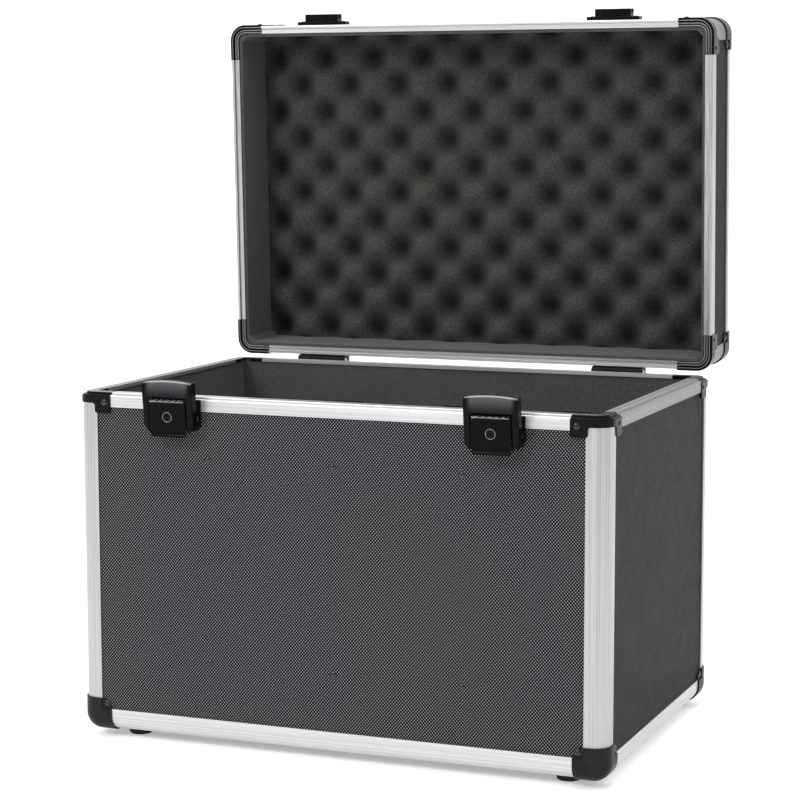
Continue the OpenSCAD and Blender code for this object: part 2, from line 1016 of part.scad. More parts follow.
module claw_pins() {
    color(steel)
        in_body()
            for (s = [-1, 1]) {
                translate([s * latch_x - pin_half, claw_pin_y - half_d, claw_pin_z])
                    rotate([0, 90, 0])
                        cylinder(r = claw_pin_r, h = 2 * pin_half);
            }
}

// Claw plate, in its latched position
module claw(side) {
    color(black_plastic)
        in_claw(side)
            difference() {
                union() {
                    difference() {
                        translate([-claw_w / 2, claw_face, claw_low])
                            cube([claw_w, claw_t, claw_top - claw_low]);
                        translate([-window_half, claw_face - eps, claw_low - eps])
                            cube([2 * window_half, claw_t + 2 * eps, window_top - claw_low + eps]);
                    }
                    pin_ears(claw_ear_in, pin_half, claw_back);
                    for (m = [0, 1]) {
                        mirror([m, 0, 0]) {
                            claw_cheek();
                            lever_lug();
                        }
                    }
                    translate([-lip_half, claw_back - play, lip_z])
                        cube([2 * lip_half, lip_tip - claw_back + play, lip_t]);
                }
                claw_bore(claw_pin_r + shaft_play);
                lever_bore(lever_pin_r + shaft_play / 2, lever_pin_half + play);
            }
}

// Side wall of the claw
module claw_cheek() {
    translate([claw_w / 2 - claw_side_t, claw_face, claw_cheek_low])
        cube([claw_side_t, claw_rear - claw_face, claw_top - claw_cheek_low]);
}

// Lug of the claw that holds an end of the lever's pin
module lever_lug() {
    outer = claw_w / 2 - claw_side_t / 2;
    translate([window_half, claw_face, lever_pin_z - lever_knuckle_r])
        cube([outer - window_half, lug_d, 2 * lever_knuckle_r]);
}

module lever_bore(radius, half) {
    translate([-half, lever_pin_y, lever_pin_z])
        rotate([0, 90, 0])
            cylinder(r = radius, h = 2 * half);
}

module claw_left() {
    claw(-1);
}

module claw_right() {
    claw(1);
}

module lever_pin(side) {
    color(steel)
        in_claw(side)
            lever_bore(lever_pin_r, lever_pin_half);
}

module lever_pin_left() {
    lever_pin(-1);
}

module lever_pin_right() {
    lever_pin(1);
}

// Side view of a lever: x is outward depth, y the height
module lever_side() {
    translate([lever_pin_y, lever_pin_z])
        circle(r = lever_knuckle_r);
    translate([lever_face, lever_low + 1])
        square([lever_t, lever_pin_z - lever_low - 1]);
    translate([lever_face - finger_out, lever_low])
        square([lever_t + 0.2, finger_h]);
}

module lever(side) {
    color(black_plastic)
        in_claw(side)
            difference() {
                union() {
                    translate([-lever_w / 2, 0, 0])
                        along_x(lever_w)
                            lever_side();
                    translate([0, lock_boss_y, lock_z])
                        rotate([90, 0, 0])
                            cylinder(r = lock_boss_r, h = lock_boss_y - lever_face + lever_gap);
                }
                lever_bore(lever_pin_r + shaft_play, lever_w);
                translate([0, eps, lock_z])
                    rotate([90, 0, 0])
                        cylinder(r = lock_r + shaft_play, h = -2 * lever_face);
            }
}

module lever_left() {
    lever(-1);
}

module lever_right() {
    lever(1);
}

// Lock plug with its key slot in front and its cam behind
module lock_plug(side) {
    color(steel)
        in_claw(side)
            difference() {
                union() {
                    translate([0, lock_back_y, lock_z])
                        rotate([90, 0, 0])
                            cylinder(r = lock_r, h = lock_back_y - lever_face + lock_proud);
                    translate([-lock_cam[0] / 2, lock_back_y, lock_z - lock_cam[0] / 2])
                        cube(lock_cam);
                }
                translate([-key_slot[0] / 2, lever_face - lock_proud - eps, lock_z - key_slot[2] / 2])
                    cube([key_slot[0], key_slot[1] + eps, key_slot[2]]);
            }
}

module lock_plug_left() {
    lock_plug(-1);
}

module lock_plug_right() {
    lock_plug(1);
}

// ---------- hinges ----------

module hinge_cylinder(radius, x0, x1) {
    translate([x0, hinge_y, hinge_z])
        rotate([0, 90, 0])
            cylinder(r = radius, h = x1 - x0);
}

// Arm behind a hinge on which the open lid's leaf comes to rest
module stop_arm() {
    slope = sin(90 - lid_open) / cos(90 - lid_open);
    plate_y = half_d - hinge_y;
    leaf_z = hinge_y - half_d - leaf_t - play - stop_play;
    low = -knuckle_r - stop_gap;
    reach0 = knuckle_r + stop_gap;
    translate([0, hinge_y, hinge_z])
        along_x(stop_w)
            polygon([
                [plate_y, low - stop_root], [plate_y, low], [reach0, low],
                [reach0, leaf_z + slope * reach0], [stop_reach, leaf_z + slope * stop_reach],
                [stop_reach, low]]);
}

module hinge_body_leaf(side) {
    color(black_plastic)
        in_body()
            translate([side * hinge_x, 0, 0])
                difference() {
                    union() {
                        translate([-hinge_w / 2, half_d, body_h - leaf_h])
                            cube([hinge_w, leaf_t, leaf_h - leaf_gap]);
                        translate([-hinge_w / 2, half_d - skin_t, body_h - leaf_h])
                            cube([hinge_w, skin_t + play, leaf_h - rim_h - play]);
                        for (s = [-1, 1]) {
                            a = s * (knuckle_half + knuckle_gap);
                            b = s * hinge_w / 2;
                            hinge_cylinder(knuckle_r, min(a, b), max(a, b));
                            translate([min(a, b), half_d, hinge_z - leaf_tab_h])
                                cube([abs(b - a), leaf_t, leaf_tab_h]);
                            translate([s * (hinge_w / 2 - stop_w) - (s < 0 ? stop_w : 0), 0, 0])
                                stop_arm();
                        }
                    }
                    hinge_cylinder(hinge_pin_r + shaft_play / 2, -hinge_w, hinge_w);
                    for (u = [-leaf_rivet_x, leaf_rivet_x]) {
                        translate([u, half_d - skin_t - eps, body_h - leaf_rivet_z])
                            rotate([-90, 0, 0])
                                cylinder(r = rivet_r + shaft_play, h = 2 * skin_t + 2 * eps);
                    }
                }
}

module hinge_body_leaf_left() {
    hinge_body_leaf(-1);
}

module hinge_body_leaf_right() {
    hinge_body_leaf(1);
}

module hinge_pins() {
    color(steel)
        in_body()
            for (s = [-1, 1]) {
                translate([s * hinge_x, 0, 0])
                    hinge_cylinder(hinge_pin_r, -hinge_w / 2 - 1, hinge_w / 2 + 1);
            }
}

// Lid leaf in the lid's own frame
module hinge_lid_leaf(side) {
    axis_z = hinge_z - body_h - seam_gap;
    color(black_plastic)
        in_lid()
            translate([side * hinge_x, 0, 0])
                difference() {
                    union() {
                        translate([-hinge_w / 2, half_d, leaf_gap])
                            cube([hinge_w, leaf_t, leaf_h - leaf_gap]);
                        translate([-hinge_w / 2, half_d - skin_t, lid_rim_h + play])
                            cube([hinge_w, skin_t + play, leaf_h - lid_rim_h - play]);
                        translate([-knuckle_half, hinge_y, axis_z])
                            rotate([0, 90, 0])
                                cylinder(r = knuckle_r, h = hinge_mid);
                        translate([-knuckle_half, half_d, axis_z])
                            cube([hinge_mid, leaf_t, leaf_tab_h]);
                    }
                    translate([-hinge_w, hinge_y, axis_z])
                        rotate([0, 90, 0])
                            cylinder(r = hinge_pin_r + shaft_play, h = 2 * hinge_w);
                    for (u = [-leaf_rivet_x, leaf_rivet_x]) {
                        translate([u, half_d - skin_t - eps, leaf_rivet_z])
                            rotate([-90, 0, 0])
                                cylinder(r = rivet_r + shaft_play, h = 2 * skin_t + 2 * eps);
                    }
                }
}

module hinge_lid_leaf_left() {
    hinge_lid_leaf(-1);
}

module hinge_lid_leaf_right() {
    hinge_lid_leaf(1);
}

// ---------- lid ----------

module lid_top_panel() {
    color(laminate)
        in_lid()
            flip_to_top()
                difference() {
                    level_board();
                    four_corners()
                        translate([ball_rivet, ball_rivet, 0])
                            cylinder(r = rivet_r + shaft_play, h = panel_in + eps);
                    for (p = handle_rivet_places()) {
                        translate([p[0], p[1], 0])
                            cylinder(r = rivet_r + shaft_play, h = panel_in + eps);
                    }
                }
}

module lid_board(angle, dist, half, places) {
    color(laminate)
        in_lid()
            on_side(angle, dist)
                difference() {
                    side_board(half, skin_t + play, lid_h - panel_edge);
                    drill(concat(lid_corner_places(half), lid_bracket_places(half), places), rivet_r);
                }
}

module lid_front_panel() {
    lid_board(0, half_d, half_w, keeper_places());
}

module lid_back_panel() {
    lid_board(180, half_d, half_w, lid_leaf_places());
}

module lid_left_panel() {
    lid_board(270, half_w, half_d, []);
}

module lid_right_panel() {
    lid_board(90, half_w, half_d, []);
}

module lid_posts() {
    color(aluminium)
        in_lid()
            four_corners()
                translate([0, 0, bracket_turn_h + play])
                    linear_extrude(height = lid_h - bracket_turn_h - play - edge_end)
                        edge_profile();
}

module lid_edges_long() {
    color(aluminium)
        in_lid()
            flip_to_top()
                long_edges();
}

module lid_edges_short() {
    color(aluminium)
        in_lid()
            flip_to_top()
                short_edges();
}

module at_lid_rim() {
    color(aluminium)
        in_lid()
            mirror([0, 0, 1])
                children();
}

// Holes for the keepers' rivets through the lid's front rim
module keeper_holes() {
    for (p = keeper_places()) {
        translate([p[0], -half_d - eps, p[1]])
            rotate([-90, 0, 0])
                cylinder(r = rivet_r + shaft_play, h = channel_d + 2 * eps);
    }
}

module lid_rim_front() {
    color(aluminium)
        in_lid()
            difference() {
                mirror([0, 0, 1])
                    front_rim(false);
                keeper_holes();
            }
}

module lid_rim_back() {
    at_lid_rim()
        mirror([0, 1, 0])
            front_rim(false);
}

module lid_rim_left() {
    at_lid_rim()
        left_rim(false);
}

module lid_rim_right() {
    at_lid_rim()
        mirror([1, 0, 0])
            left_rim(false);
}

module lid_rim_brackets() {
    color(black_plastic)
        in_lid()
            mirror([0, 0, 1])
                four_corners()
                    rim_bracket(false);
}

module lid_ball_corners() {
    color(dark_plastic)
        in_lid()
            flip_to_top()
                four_corners()
                    ball_corner();
}

module lid_side_rivets(half) {
    for (p = lid_corner_places(half)) {
        translate([p[0], p[1], tab_proud])
            pop_rivet(panel_in + tab_proud);
    }
    for (p = lid_bracket_places(half)) {
        translate([p[0], p[1], bracket_t])
            pop_rivet(panel_in + bracket_t);
    }
}

module lid_rivets() {
    color(steel)
        in_lid() {
            for (a = [0, 180]) {
                on_side(a, half_d)
                    lid_side_rivets(half_w);
            }
            for (a = [90, 270]) {
                on_side(a, half_w)
                    lid_side_rivets(half_d);
            }
            on_side(0, half_d)
                for (p = keeper_places()) {
                    translate([p[0], p[1], keeper_base_t])
                        rivet(rivet_r, keeper_head_r, keeper_head_h, panel_in + keeper_base_t);
                }
            on_side(180, half_d)
                for (p = lid_leaf_places()) {
                    translate([p[0], p[1], leaf_t])
                        pop_rivet(panel_in + leaf_t);
                }
            flip_to_top()
                four_corners()
                    translate([ball_rivet, ball_rivet, -tab_proud])
                        mirror([0, 0, 1])
                            pop_rivet(panel_in + tab_proud);
            for (p = handle_rivet_places()) {
                translate([p[0], p[1], top_face + bracket_base_t])
                    pop_rivet(bracket_base_t + panel_t);
            }
        }
}

// Keeper: a stepped block whose groove takes the claw's lip
module keeper(side) {
    height = keeper_high - keeper_low;
    groove_h = keeper_groove[1] - keeper_groove[0];
    color(black_plastic)
        in_lid()
            translate([side * latch_x, -half_d, 0])
                difference() {
                    union() {
                        translate([-keeper_w / 2, -keeper_base_t, keeper_low])
                            cube([keeper_w, keeper_base_t, height]);
                        translate([-keeper_mid_w / 2, -keeper_reach, keeper_low + keeper_mid_inset])
                            cube([keeper_mid_w, keeper_reach, height - 2 * keeper_mid_inset]);
                    }
                    translate([-keeper_w / 2 - eps, -keeper_reach - eps, keeper_groove[0]])
                        cube([keeper_w + 2 * eps, keeper_groove_d + eps, groove_h]);
                    for (u = [-keeper_rivet_x, keeper_rivet_x]) {
                        translate([u, eps, keeper_rivet_z])
                            rotate([90, 0, 0])
                                cylinder(r = rivet_r + shaft_play, h = keeper_base_t + 2 * eps);
                    }
                }
}

module keeper_left() {
    keeper(-1);
}

module keeper_right() {
    keeper(1);
}

module lid_lining() {
    height = lid_lining_high - lid_lining_low;
    short_end = lid_lining_out + play;
    color(felt)
        in_lid() {
            for (a = [0, 180]) {
                on_side(a, half_d)
                    translate([-half_w + lining_end, lid_lining_low, -lid_lining_out])
                        cube([case_w - 2 * lining_end, height, lid_lining_t]);
            }
            for (a = [90, 270]) {
                on_side(a, half_w)
                    translate([-half_d + short_end, lid_lining_low, -lid_lining_out])
                        cube([case_d - 2 * short_end, height, lid_lining_t]);
            }
        }
}

module foam_pad() {
    gap = lid_lining_out + 2 * play;
    color(foam)
        in_lid()
            translate([-half_w + gap, -half_d + gap, foam_start])
                cube([case_w - 2 * gap, case_d - 2 * gap, lid_lining_high - foam_start]);
}

// ---------- handle ----------

module handle_bracket() {
    difference() {
        union() {
            translate([bracket_x0, -bracket_half_y, top_face])
                cube([bracket_x1 - bracket_x0, 2 * bracket_half_y, bracket_base_t]);
            for (x = [ear_in_x, ear_out_x]) {
                translate([x, -arm_r, top_face])
                    cube([ear_t, 2 * arm_r, handle_pin_z - top_face]);
                translate([x, 0, handle_pin_z])
                    rotate([0, 90, 0])
                        cylinder(r = arm_r, h = ear_t);
            }
        }
        handle_shaft(handle_pin_r + shaft_play / 2, 0, 2 * arm_x);
        for (y = [-handle_rivet_y, handle_rivet_y]) {
            translate([(bracket_x0 + bracket_x1) / 2, y, top_face - eps])
                cylinder(r = rivet_r + shaft_play, h = bracket_base_t + 2 * eps);
        }
    }
}

module handle_shaft(radius, x0, x1) {
    translate([x0, 0, handle_pin_z])
        rotate([0, 90, 0])
            cylinder(r = radius, h = x1 - x0);
}

module handle_brackets() {
    color(black_plastic)
        in_lid()
            for (m = [0, 1]) {
                mirror([m, 0, 0])
                    handle_bracket();
            }
}

module handle_pins() {
    color(steel)
        in_lid()
            for (m = [0, 1]) {
                mirror([m, 0, 0])
                    handle_shaft(handle_pin_r, bracket_x0 + ear_gap, bracket_x1 - ear_gap);
            }
}

// Handle folded flat against the lid, towards its hinges
module handle_grip() {
    end_x = arm_x + arm_w;
    color(black_plastic)
        in_lid()
            difference() {
                union() {
                    for (y = [grip_y - grip_flat / 2, grip_y + grip_flat / 2]) {
                        translate([0, y, 0])
                            handle_shaft(grip_r, -end_x, end_x);
                    }
                    translate([-end_x, grip_y - grip_flat / 2, handle_pin_z - grip_r])
                        cube([2 * end_x, grip_flat, 2 * grip_r]);
                    for (m = [0, 1]) {
                        mirror([m, 0, 0]) {
                            handle_shaft(arm_r, arm_x, end_x);
                            translate([arm_x, 0, handle_pin_z - arm_r])
                                cube([arm_w, grip_y - grip_flat / 2, 2 * arm_r]);
                        }
                    }
                }
                handle_shaft(handle_pin_r + shaft_play, -2 * end_x, 2 * end_x);
            }
}

bottom_panel();
front_panel();
back_panel();
left_panel();
right_panel();
corner_posts();
bottom_edges_long();
bottom_edges_short();
rim_front();
rim_back();
rim_left();
rim_right();
rim_brackets();
ball_corners();
feet();
foot_screws();
body_rivets();
rail_rivets();
divider_rails();
wall_linings();
floor_lining();
latch_base_left();
latch_base_right();
claw_pins();
hinge_body_leaf_left();
hinge_body_leaf_right();
hinge_pins();
lid_top_panel();
lid_front_panel();
lid_back_panel();
lid_left_panel();
lid_right_panel();
lid_posts();
lid_edges_long();
lid_edges_short();
lid_rim_front();
lid_rim_back();
lid_rim_left();
lid_rim_right();
lid_rim_brackets();
lid_ball_corners();
lid_rivets();
keeper_left();
keeper_right();
hinge_lid_leaf_left();
hinge_lid_leaf_right();
lid_lining();
foam_pad();
handle_brackets();
handle_pins();
handle_grip();
claw_left();
claw_right();
lever_left();
lever_right();
lever_pin_left();
lever_pin_right();
lock_plug_left();
lock_plug_right();
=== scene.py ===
"""Looks for a hard-sided telescope carry case that stands open: laminated boards in aluminium edges,
black plastic hardware, a felt lining and an egg-crate foam pad in the lid. Lengths are in metres."""

import json
import math

import bpy
from mathutils import Matrix, Vector, noise


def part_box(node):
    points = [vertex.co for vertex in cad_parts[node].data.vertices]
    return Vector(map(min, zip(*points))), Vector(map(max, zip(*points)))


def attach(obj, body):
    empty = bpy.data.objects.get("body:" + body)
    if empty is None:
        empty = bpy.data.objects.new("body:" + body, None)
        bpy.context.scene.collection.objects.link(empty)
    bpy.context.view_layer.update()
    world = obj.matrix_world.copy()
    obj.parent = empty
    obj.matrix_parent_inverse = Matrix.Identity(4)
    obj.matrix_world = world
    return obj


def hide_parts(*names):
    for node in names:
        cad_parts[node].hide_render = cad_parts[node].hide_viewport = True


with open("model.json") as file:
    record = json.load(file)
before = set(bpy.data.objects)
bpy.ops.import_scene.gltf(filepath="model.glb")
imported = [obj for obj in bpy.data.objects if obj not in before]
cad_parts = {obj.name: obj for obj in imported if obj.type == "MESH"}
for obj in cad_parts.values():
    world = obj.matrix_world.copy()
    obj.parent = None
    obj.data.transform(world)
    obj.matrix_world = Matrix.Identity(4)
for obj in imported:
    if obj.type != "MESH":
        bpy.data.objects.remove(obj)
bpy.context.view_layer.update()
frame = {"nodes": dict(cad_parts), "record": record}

MM = 0.001
NODES = frame["nodes"]
JOINTS = {joint["name"]: joint for joint in frame["record"]["behaviour"]["joints"]}


# ---------- frames of the moving parts ----------

def joint_place(name):
    return Vector(JOINTS[name]["pos_m"])


def joint_angle(name, end):
    return math.radians(JOINTS[name]["range_deg"][end])


FLOOR_LOW, FLOOR_HIGH = (Vector(corner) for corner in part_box("floor_lining"))
SHELL_Y = (FLOOR_LOW.y + FLOOR_HIGH.y) / 2
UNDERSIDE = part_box("bottom_edges_long")[0][2]
SEAM_HALF = 0.15 * MM

# The shell's own frame: x from the middle, y from the middle, z from the underside
SHELL = Matrix.Translation((0, SHELL_Y, UNDERSIDE))

# The lid's own frame: z = 0 on the face that meets the lower rim, the lid's top at +z
HINGE = joint_place("lid_hinge")
LID = (Matrix.Translation(HINGE)
       @ Matrix.Rotation(-joint_angle("lid_hinge", 1), 4, "X")
       @ Matrix.Translation((0, SHELL_Y - HINGE.y, SEAM_HALF)))

# The claw pin's y from the rim's face and z from the underside
CLAW_PIN = (-6.5 * MM, 298 * MM)


def claw_frame(side):
    """A latch's frame: x from its middle, y from the rim's face, z from the underside, when latched."""
    pin = joint_place("claw_swing_" + side)
    out = -joint_angle("claw_swing_" + side, 0)
    return (Matrix.Translation(pin)
            @ Matrix.Rotation(out, 4, "X")
            @ Matrix.Translation((0, -CLAW_PIN[0], -CLAW_PIN[1])))


def local_box(node, matrix):
    """Lowest and highest corner of a CAD node in one of the frames above."""
    inverse = matrix.inverted()
    points = [inverse @ vertex.co for vertex in NODES[node].data.vertices]
    low = Vector([min(p[i] for p in points) for i in range(3)])
    high = Vector([max(p[i] for p in points) for i in range(3)])
    return low, high


# ---------- mesh helpers ----------

def new_piece(name, verts, faces, matrix, body, material, replaced=()):
    """Makes a smooth mesh piece from points given in one of the frames above."""
    mesh = bpy.data.meshes.new(name)
    mesh.from_pydata([matrix @ Vector(v) for v in verts], [], faces)
    mesh.validate()
    for polygon in mesh.polygons:
        polygon.use_smooth = True
    mesh.materials.append(material)
    piece = bpy.data.objects.new(name, mesh)
    bpy.context.scene.collection.objects.link(piece)
    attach(piece, body)
    if replaced:
        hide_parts(*replaced)
    return piece


def soften(piece, width, segments=2, angle=30):
    """Rounds a piece's edges without changing its mesh."""
    bevel = piece.modifiers.new("Bevel", "BEVEL")
    bevel.width = width
    bevel.segments = segments
    bevel.limit_method = "ANGLE"
    bevel.angle_limit = math.radians(angle)
    piece.modifiers.new("Normals", "WEIGHTED_NORMAL")


def join_points(piece):
    """Joins the double points of a CAD mesh, so that its edges can be rounded."""
    piece.modifiers.new("Weld", "WELD").merge_threshold = 0.01 * MM


def crease(piece, angle=35):
    """Keeps the piece's corners sharp where its faces meet at more than the angle."""
    piece.data.set_sharp_from_angle(angle=math.radians(angle))


def smooth_step(value, start, stop):
    """0 before start, 1 after stop, with a soft change between them."""
    share = min(1.0, max(0.0, (value - start) / (stop - start)))
    return share * share * (3 - 2 * share)


def hump(value, middle, width):
    """A soft bump: 1 at the middle, fading to 0 a few widths away."""
    return math.exp(-((value - middle) / width) ** 2)


def grid_faces(columns, rows, closed=False):
    """Quads of a grid of points, row by row; closed joins the last column to the first."""
    faces = []
    last = columns if closed else columns - 1
    for row in range(rows - 1):
        for column in range(last):
            a = row * columns + column
            b = row * columns + (column + 1) % columns
            faces.append((a, b, b + columns, a + columns))
    return faces


def linspace(start, stop, count):
    return [start + (stop - start) * i / (count - 1) for i in range(count)]


def arc(cx, cy, radius, start, stop, count):
    """Points on an arc, angles in degrees."""
    angles = [math.radians(a) for a in linspace(start, stop, count)]
    return [(cx + radius * math.cos(a), cy + radius * math.sin(a)) for a in angles]


def sweep(path, section, normals):
    """Points of a section swept along a path: section x is along the normal, section y along z."""
    verts = []
    for (px, py), (nx, ny) in zip(path, normals):
        for depth, height in section:
            verts.append((px + nx * depth, py + ny * depth, height))
    return verts


# ---------- materials ----------

MAP_SOCKETS = ("From Min", "From Max", "To Min", "To Max")


class Shader:
    """A node material: a Principled surface and short calls that wire nodes to it."""

    def __init__(self, name):
        self.material = bpy.data.materials.new(name)
        self.material.use_nodes = True
        self.tree = self.material.node_tree
        self.tree.nodes.clear()
        self.surface = self.add("ShaderNodeBsdfPrincipled")
        output = self.add("ShaderNodeOutputMaterial")
        self.tree.links.new(self.surface.outputs[0], output.inputs[0])
        self.coords = self.add("ShaderNodeTexCoord").outputs["Object"]

    def add(self, kind, **settings):
        node = self.tree.nodes.new(kind)
        for key, value in settings.items():
            setattr(node, key, value)
        return node

    def feed(self, socket, value):
        if isinstance(value, bpy.types.NodeSocket):
            self.tree.links.new(value, socket)
        else:
            socket.default_value = value

    def math(self, operation, first, second=0.0, third=0.0):
        node = self.add("ShaderNodeMath", operation=operation)
        for socket, value in zip(node.inputs, (first, second, third)):
            self.feed(socket, value)
        return node.outputs[0]

    def axis(self, letter):
        split = self.add("ShaderNodeSeparateXYZ")
        self.feed(split.inputs[0], self.coords)
        return split.outputs["XYZ".index(letter.upper())]

    def stretched(self, scales):
        mapping = self.add("ShaderNodeMapping")
        self.feed(mapping.inputs["Vector"], self.coords)
        mapping.inputs["Scale"].default_value = scales
        return mapping.outputs[0]

    def noise(self, scale, detail=3.0, roughness=0.55, vector=None):
        node = self.add("ShaderNodeTexNoise")
        self.feed(node.inputs["Vector"], vector or self.coords)
        node.inputs["Scale"].default_value = scale
        node.inputs["Detail"].default_value = detail
        node.inputs["Roughness"].default_value = roughness
        return node.outputs["Fac"]

    def cells(self, scale):
        node = self.add("ShaderNodeTexVoronoi")
        self.feed(node.inputs["Vector"], self.coords)
        node.inputs["Scale"].default_value = scale
        return node.outputs["Distance"]

    def span(self, value, low, high, to_low, to_high):
        node = self.add("ShaderNodeMapRange")
        self.feed(node.inputs["Value"], value)
        for socket, number in zip(MAP_SOCKETS, (low, high, to_low, to_high)):
            node.inputs[socket].default_value = number
        return node.outputs[0]

    def stored(self, name):
        return self.add("ShaderNodeAttribute", attribute_name=name).outputs["Fac"]

    def blend(self, factor, first, second):
        node = self.add("ShaderNodeMix", data_type="RGBA")
        sockets = [socket for socket in node.inputs if socket.type == "RGBA"]
        self.feed(node.inputs["Factor"], factor)
        self.feed(sockets[0], first)
        self.feed(sockets[1], second)
        return [socket for socket in node.outputs if socket.type == "RGBA"][0]

    def bump(self, height, strength, distance):
        node = self.add("ShaderNodeBump")
        node.inputs["Strength"].default_value = strength
        node.inputs["Distance"].default_value = distance
        self.feed(node.inputs["Height"], height)
        return node.outputs[0]

    def finish(self, **inputs):
        for key, value in inputs.items():
            self.feed(self.surface.inputs[key.replace("_", " ")], value)
        return self.material


def grey(level, tint=(1.0, 1.0, 1.0)):
    return (level * tint[0], level * tint[1], level * tint[2], 1.0)


# Tints of the plastics, the aluminium and the soft lining
COOL = (0.94, 1.0, 1.04)
SILVER = (0.985, 0.995, 1.01)
OLIVE = (1.0, 0.99, 0.9)

# Pitch of the laminate's dots
DOT_ACROSS = 2.9 * MM
DOT_ALONG = 3.3 * MM


def laminate(name, across, along, level=1.0, shine=0.04):
    """Black laminate printed and embossed with a lattice of small grey dots."""
    s = Shader(name)
    first = s.math("COSINE", s.math("MULTIPLY", s.axis(across), math.tau / DOT_ACROSS))
    second = s.math("COSINE", s.math("MULTIPLY", s.axis(along), math.tau / DOT_ALONG))
    lattice = s.math("MULTIPLY", first, second)
    dots = s.span(lattice, 0.26, 0.62, 0.0, 1.0)
    dust = s.noise(60.0, 4.0)
    base = s.blend(dots, grey(0.002 * level, COOL), grey(0.25 * level, COOL))
    colour = s.blend(s.span(dust, 0.3, 0.8, 0.0, 0.03), base, grey(0.05 * level, COOL))
    rough = s.span(dust, 0.25, 0.75, 0.46, 0.56)
    relief = s.bump(dots, 0.4, 0.12 * MM)
    return s.finish(Base_Color=colour, Roughness=rough, Normal=relief, Specular_IOR_Level=shine)


def aluminium(name, axis, level, metallic=0.85, rough=0.34):
    """Satin anodised aluminium with faint drawn lines along its length."""
    s = Shader(name)
    scales = [700.0, 700.0, 700.0]
    scales["xyz".index(axis)] = 3.0
    lines = s.noise(1.0, 2.0, 0.6, s.stretched(scales))
    clouds = s.noise(9.0, 2.0)
    dark, pale = grey(level * 0.84, SILVER), grey(level * 1.12, SILVER)
    colour = s.blend(s.span(lines, 0.35, 0.65, 0.0, 1.0), dark, pale)
    drawn = s.span(lines, 0.3, 0.7, rough, rough + 0.1)
    roughness = s.math("ADD", drawn, s.span(clouds, 0.3, 0.7, 0.0, 0.06))
    relief = s.bump(lines, 0.15, 0.03 * MM)
    return s.finish(Base_Color=colour, Metallic=metallic, Roughness=roughness, Normal=relief)


def plastic(name, level, rough, shine, grain=1.0, painted_light=0.0):
    """Moulded plastic with a fine grain; where its mesh stores painted light, it turns pale towards the
    given level as a painted highlight.
    """
    s = Shader(name)
    fine = s.noise(2600.0, 2.0)
    broad = s.noise(45.0, 3.0)
    colour = s.blend(s.span(broad, 0.3, 0.7, 0.0, 1.0), grey(level * 0.8, COOL), grey(level * 1.25, COOL))
    if painted_light:
        # Painted light: the colour turns pale where the mesh stores painted highlights and lighter tops
        colour = s.blend(s.stored("painted_light"), colour, grey(painted_light, COOL))
    roughness = s.span(broad, 0.3, 0.7, rough - 0.05, rough + 0.06)
    relief = s.bump(fine, 0.22 * grain, 0.05 * MM)
    return s.finish(Base_Color=colour, Roughness=roughness, Normal=relief, Specular_IOR_Level=shine)


def felt(name, level):
    """Dense needled felt: short fibres, a soft sheen and faint clouds."""
    s = Shader(name)
    fibres = s.noise(1500.0, 4.0, 0.7)
    tufts = s.noise(260.0, 3.0, 0.65)
    clouds = s.noise(14.0, 3.0)
    mottle = s.math("ADD", s.math("MULTIPLY", fibres, 0.6), s.math("MULTIPLY", tufts, 0.4))
    dark, pale = grey(level * 0.7, OLIVE), grey(level * 1.4, OLIVE)
    shade = s.blend(s.span(mottle, 0.35, 0.65, 0.0, 1.0), dark, pale)
    colour = s.blend(s.span(clouds, 0.35, 0.7, 0.0, 0.25), shade, pale)
    relief = s.bump(mottle, 0.5, 0.4 * MM)
    return s.finish(Base_Color=colour, Roughness=0.96, Normal=relief, Specular_IOR_Level=0.1,
                    Sheen_Weight=0.12, Sheen_Roughness=0.6)


def open_foam(name):
    """Open-celled foam with fine pale speckle on its peaks, and painted shade that makes it dark in its
    pits.
    """
    s = Shader(name)
    pores = s.cells(1100.0)
    fine = s.noise(900.0, 4.0, 0.75)
    speck = s.math("ADD", s.math("MULTIPLY", pores, 0.5), s.math("MULTIPLY", fine, 0.6))
    peak = s.blend(s.span(speck, 0.35, 0.75, 0.0, 1.0), grey(0.018, OLIVE), grey(0.085, OLIVE))
    # Painted shade: the pits get a far darker copy of the foam's colour, set by the depth stored on the mesh
    pit = s.blend(s.span(speck, 0.35, 0.75, 0.0, 1.0), grey(0.003, OLIVE), grey(0.016, OLIVE))
    depth = s.span(s.stored("pit"), 0.3, 1.0, 0.0, 1.0)
    relief = s.bump(speck, 0.7, 0.6 * MM)
    return s.finish(Base_Color=s.blend(depth, peak, pit), Roughness=1.0, Normal=relief,
                    Specular_IOR_Level=0.06, Sheen_Weight=0.05)


def rubber(name):
    """Matt black rubber with a coarse grain."""
    s = Shader(name)
    grain = s.noise(1200.0, 3.0)
    colour = s.blend(s.span(grain, 0.3, 0.7, 0.0, 1.0), grey(0.006), grey(0.016))
    return s.finish(Base_Color=colour, Roughness=0.75, Normal=s.bump(grain, 0.3, 0.1 * MM),
                    Specular_IOR_Level=0.25)


def metal(name, level, rough):
    """Turned or stamped metal with fine scratches."""
    s = Shader(name)
    scratches = s.noise(700.0, 3.0, 0.7)
    colour = s.blend(s.span(scratches, 0.3, 0.7, 0.0, 1.0), grey(level * 0.8), grey(level * 1.1))
    roughness = s.span(scratches, 0.3, 0.7, rough - 0.06, rough + 0.08)
    return s.finish(Base_Color=colour, Metallic=1.0, Roughness=roughness,
                    Normal=s.bump(scratches, 0.08, 0.04 * MM))
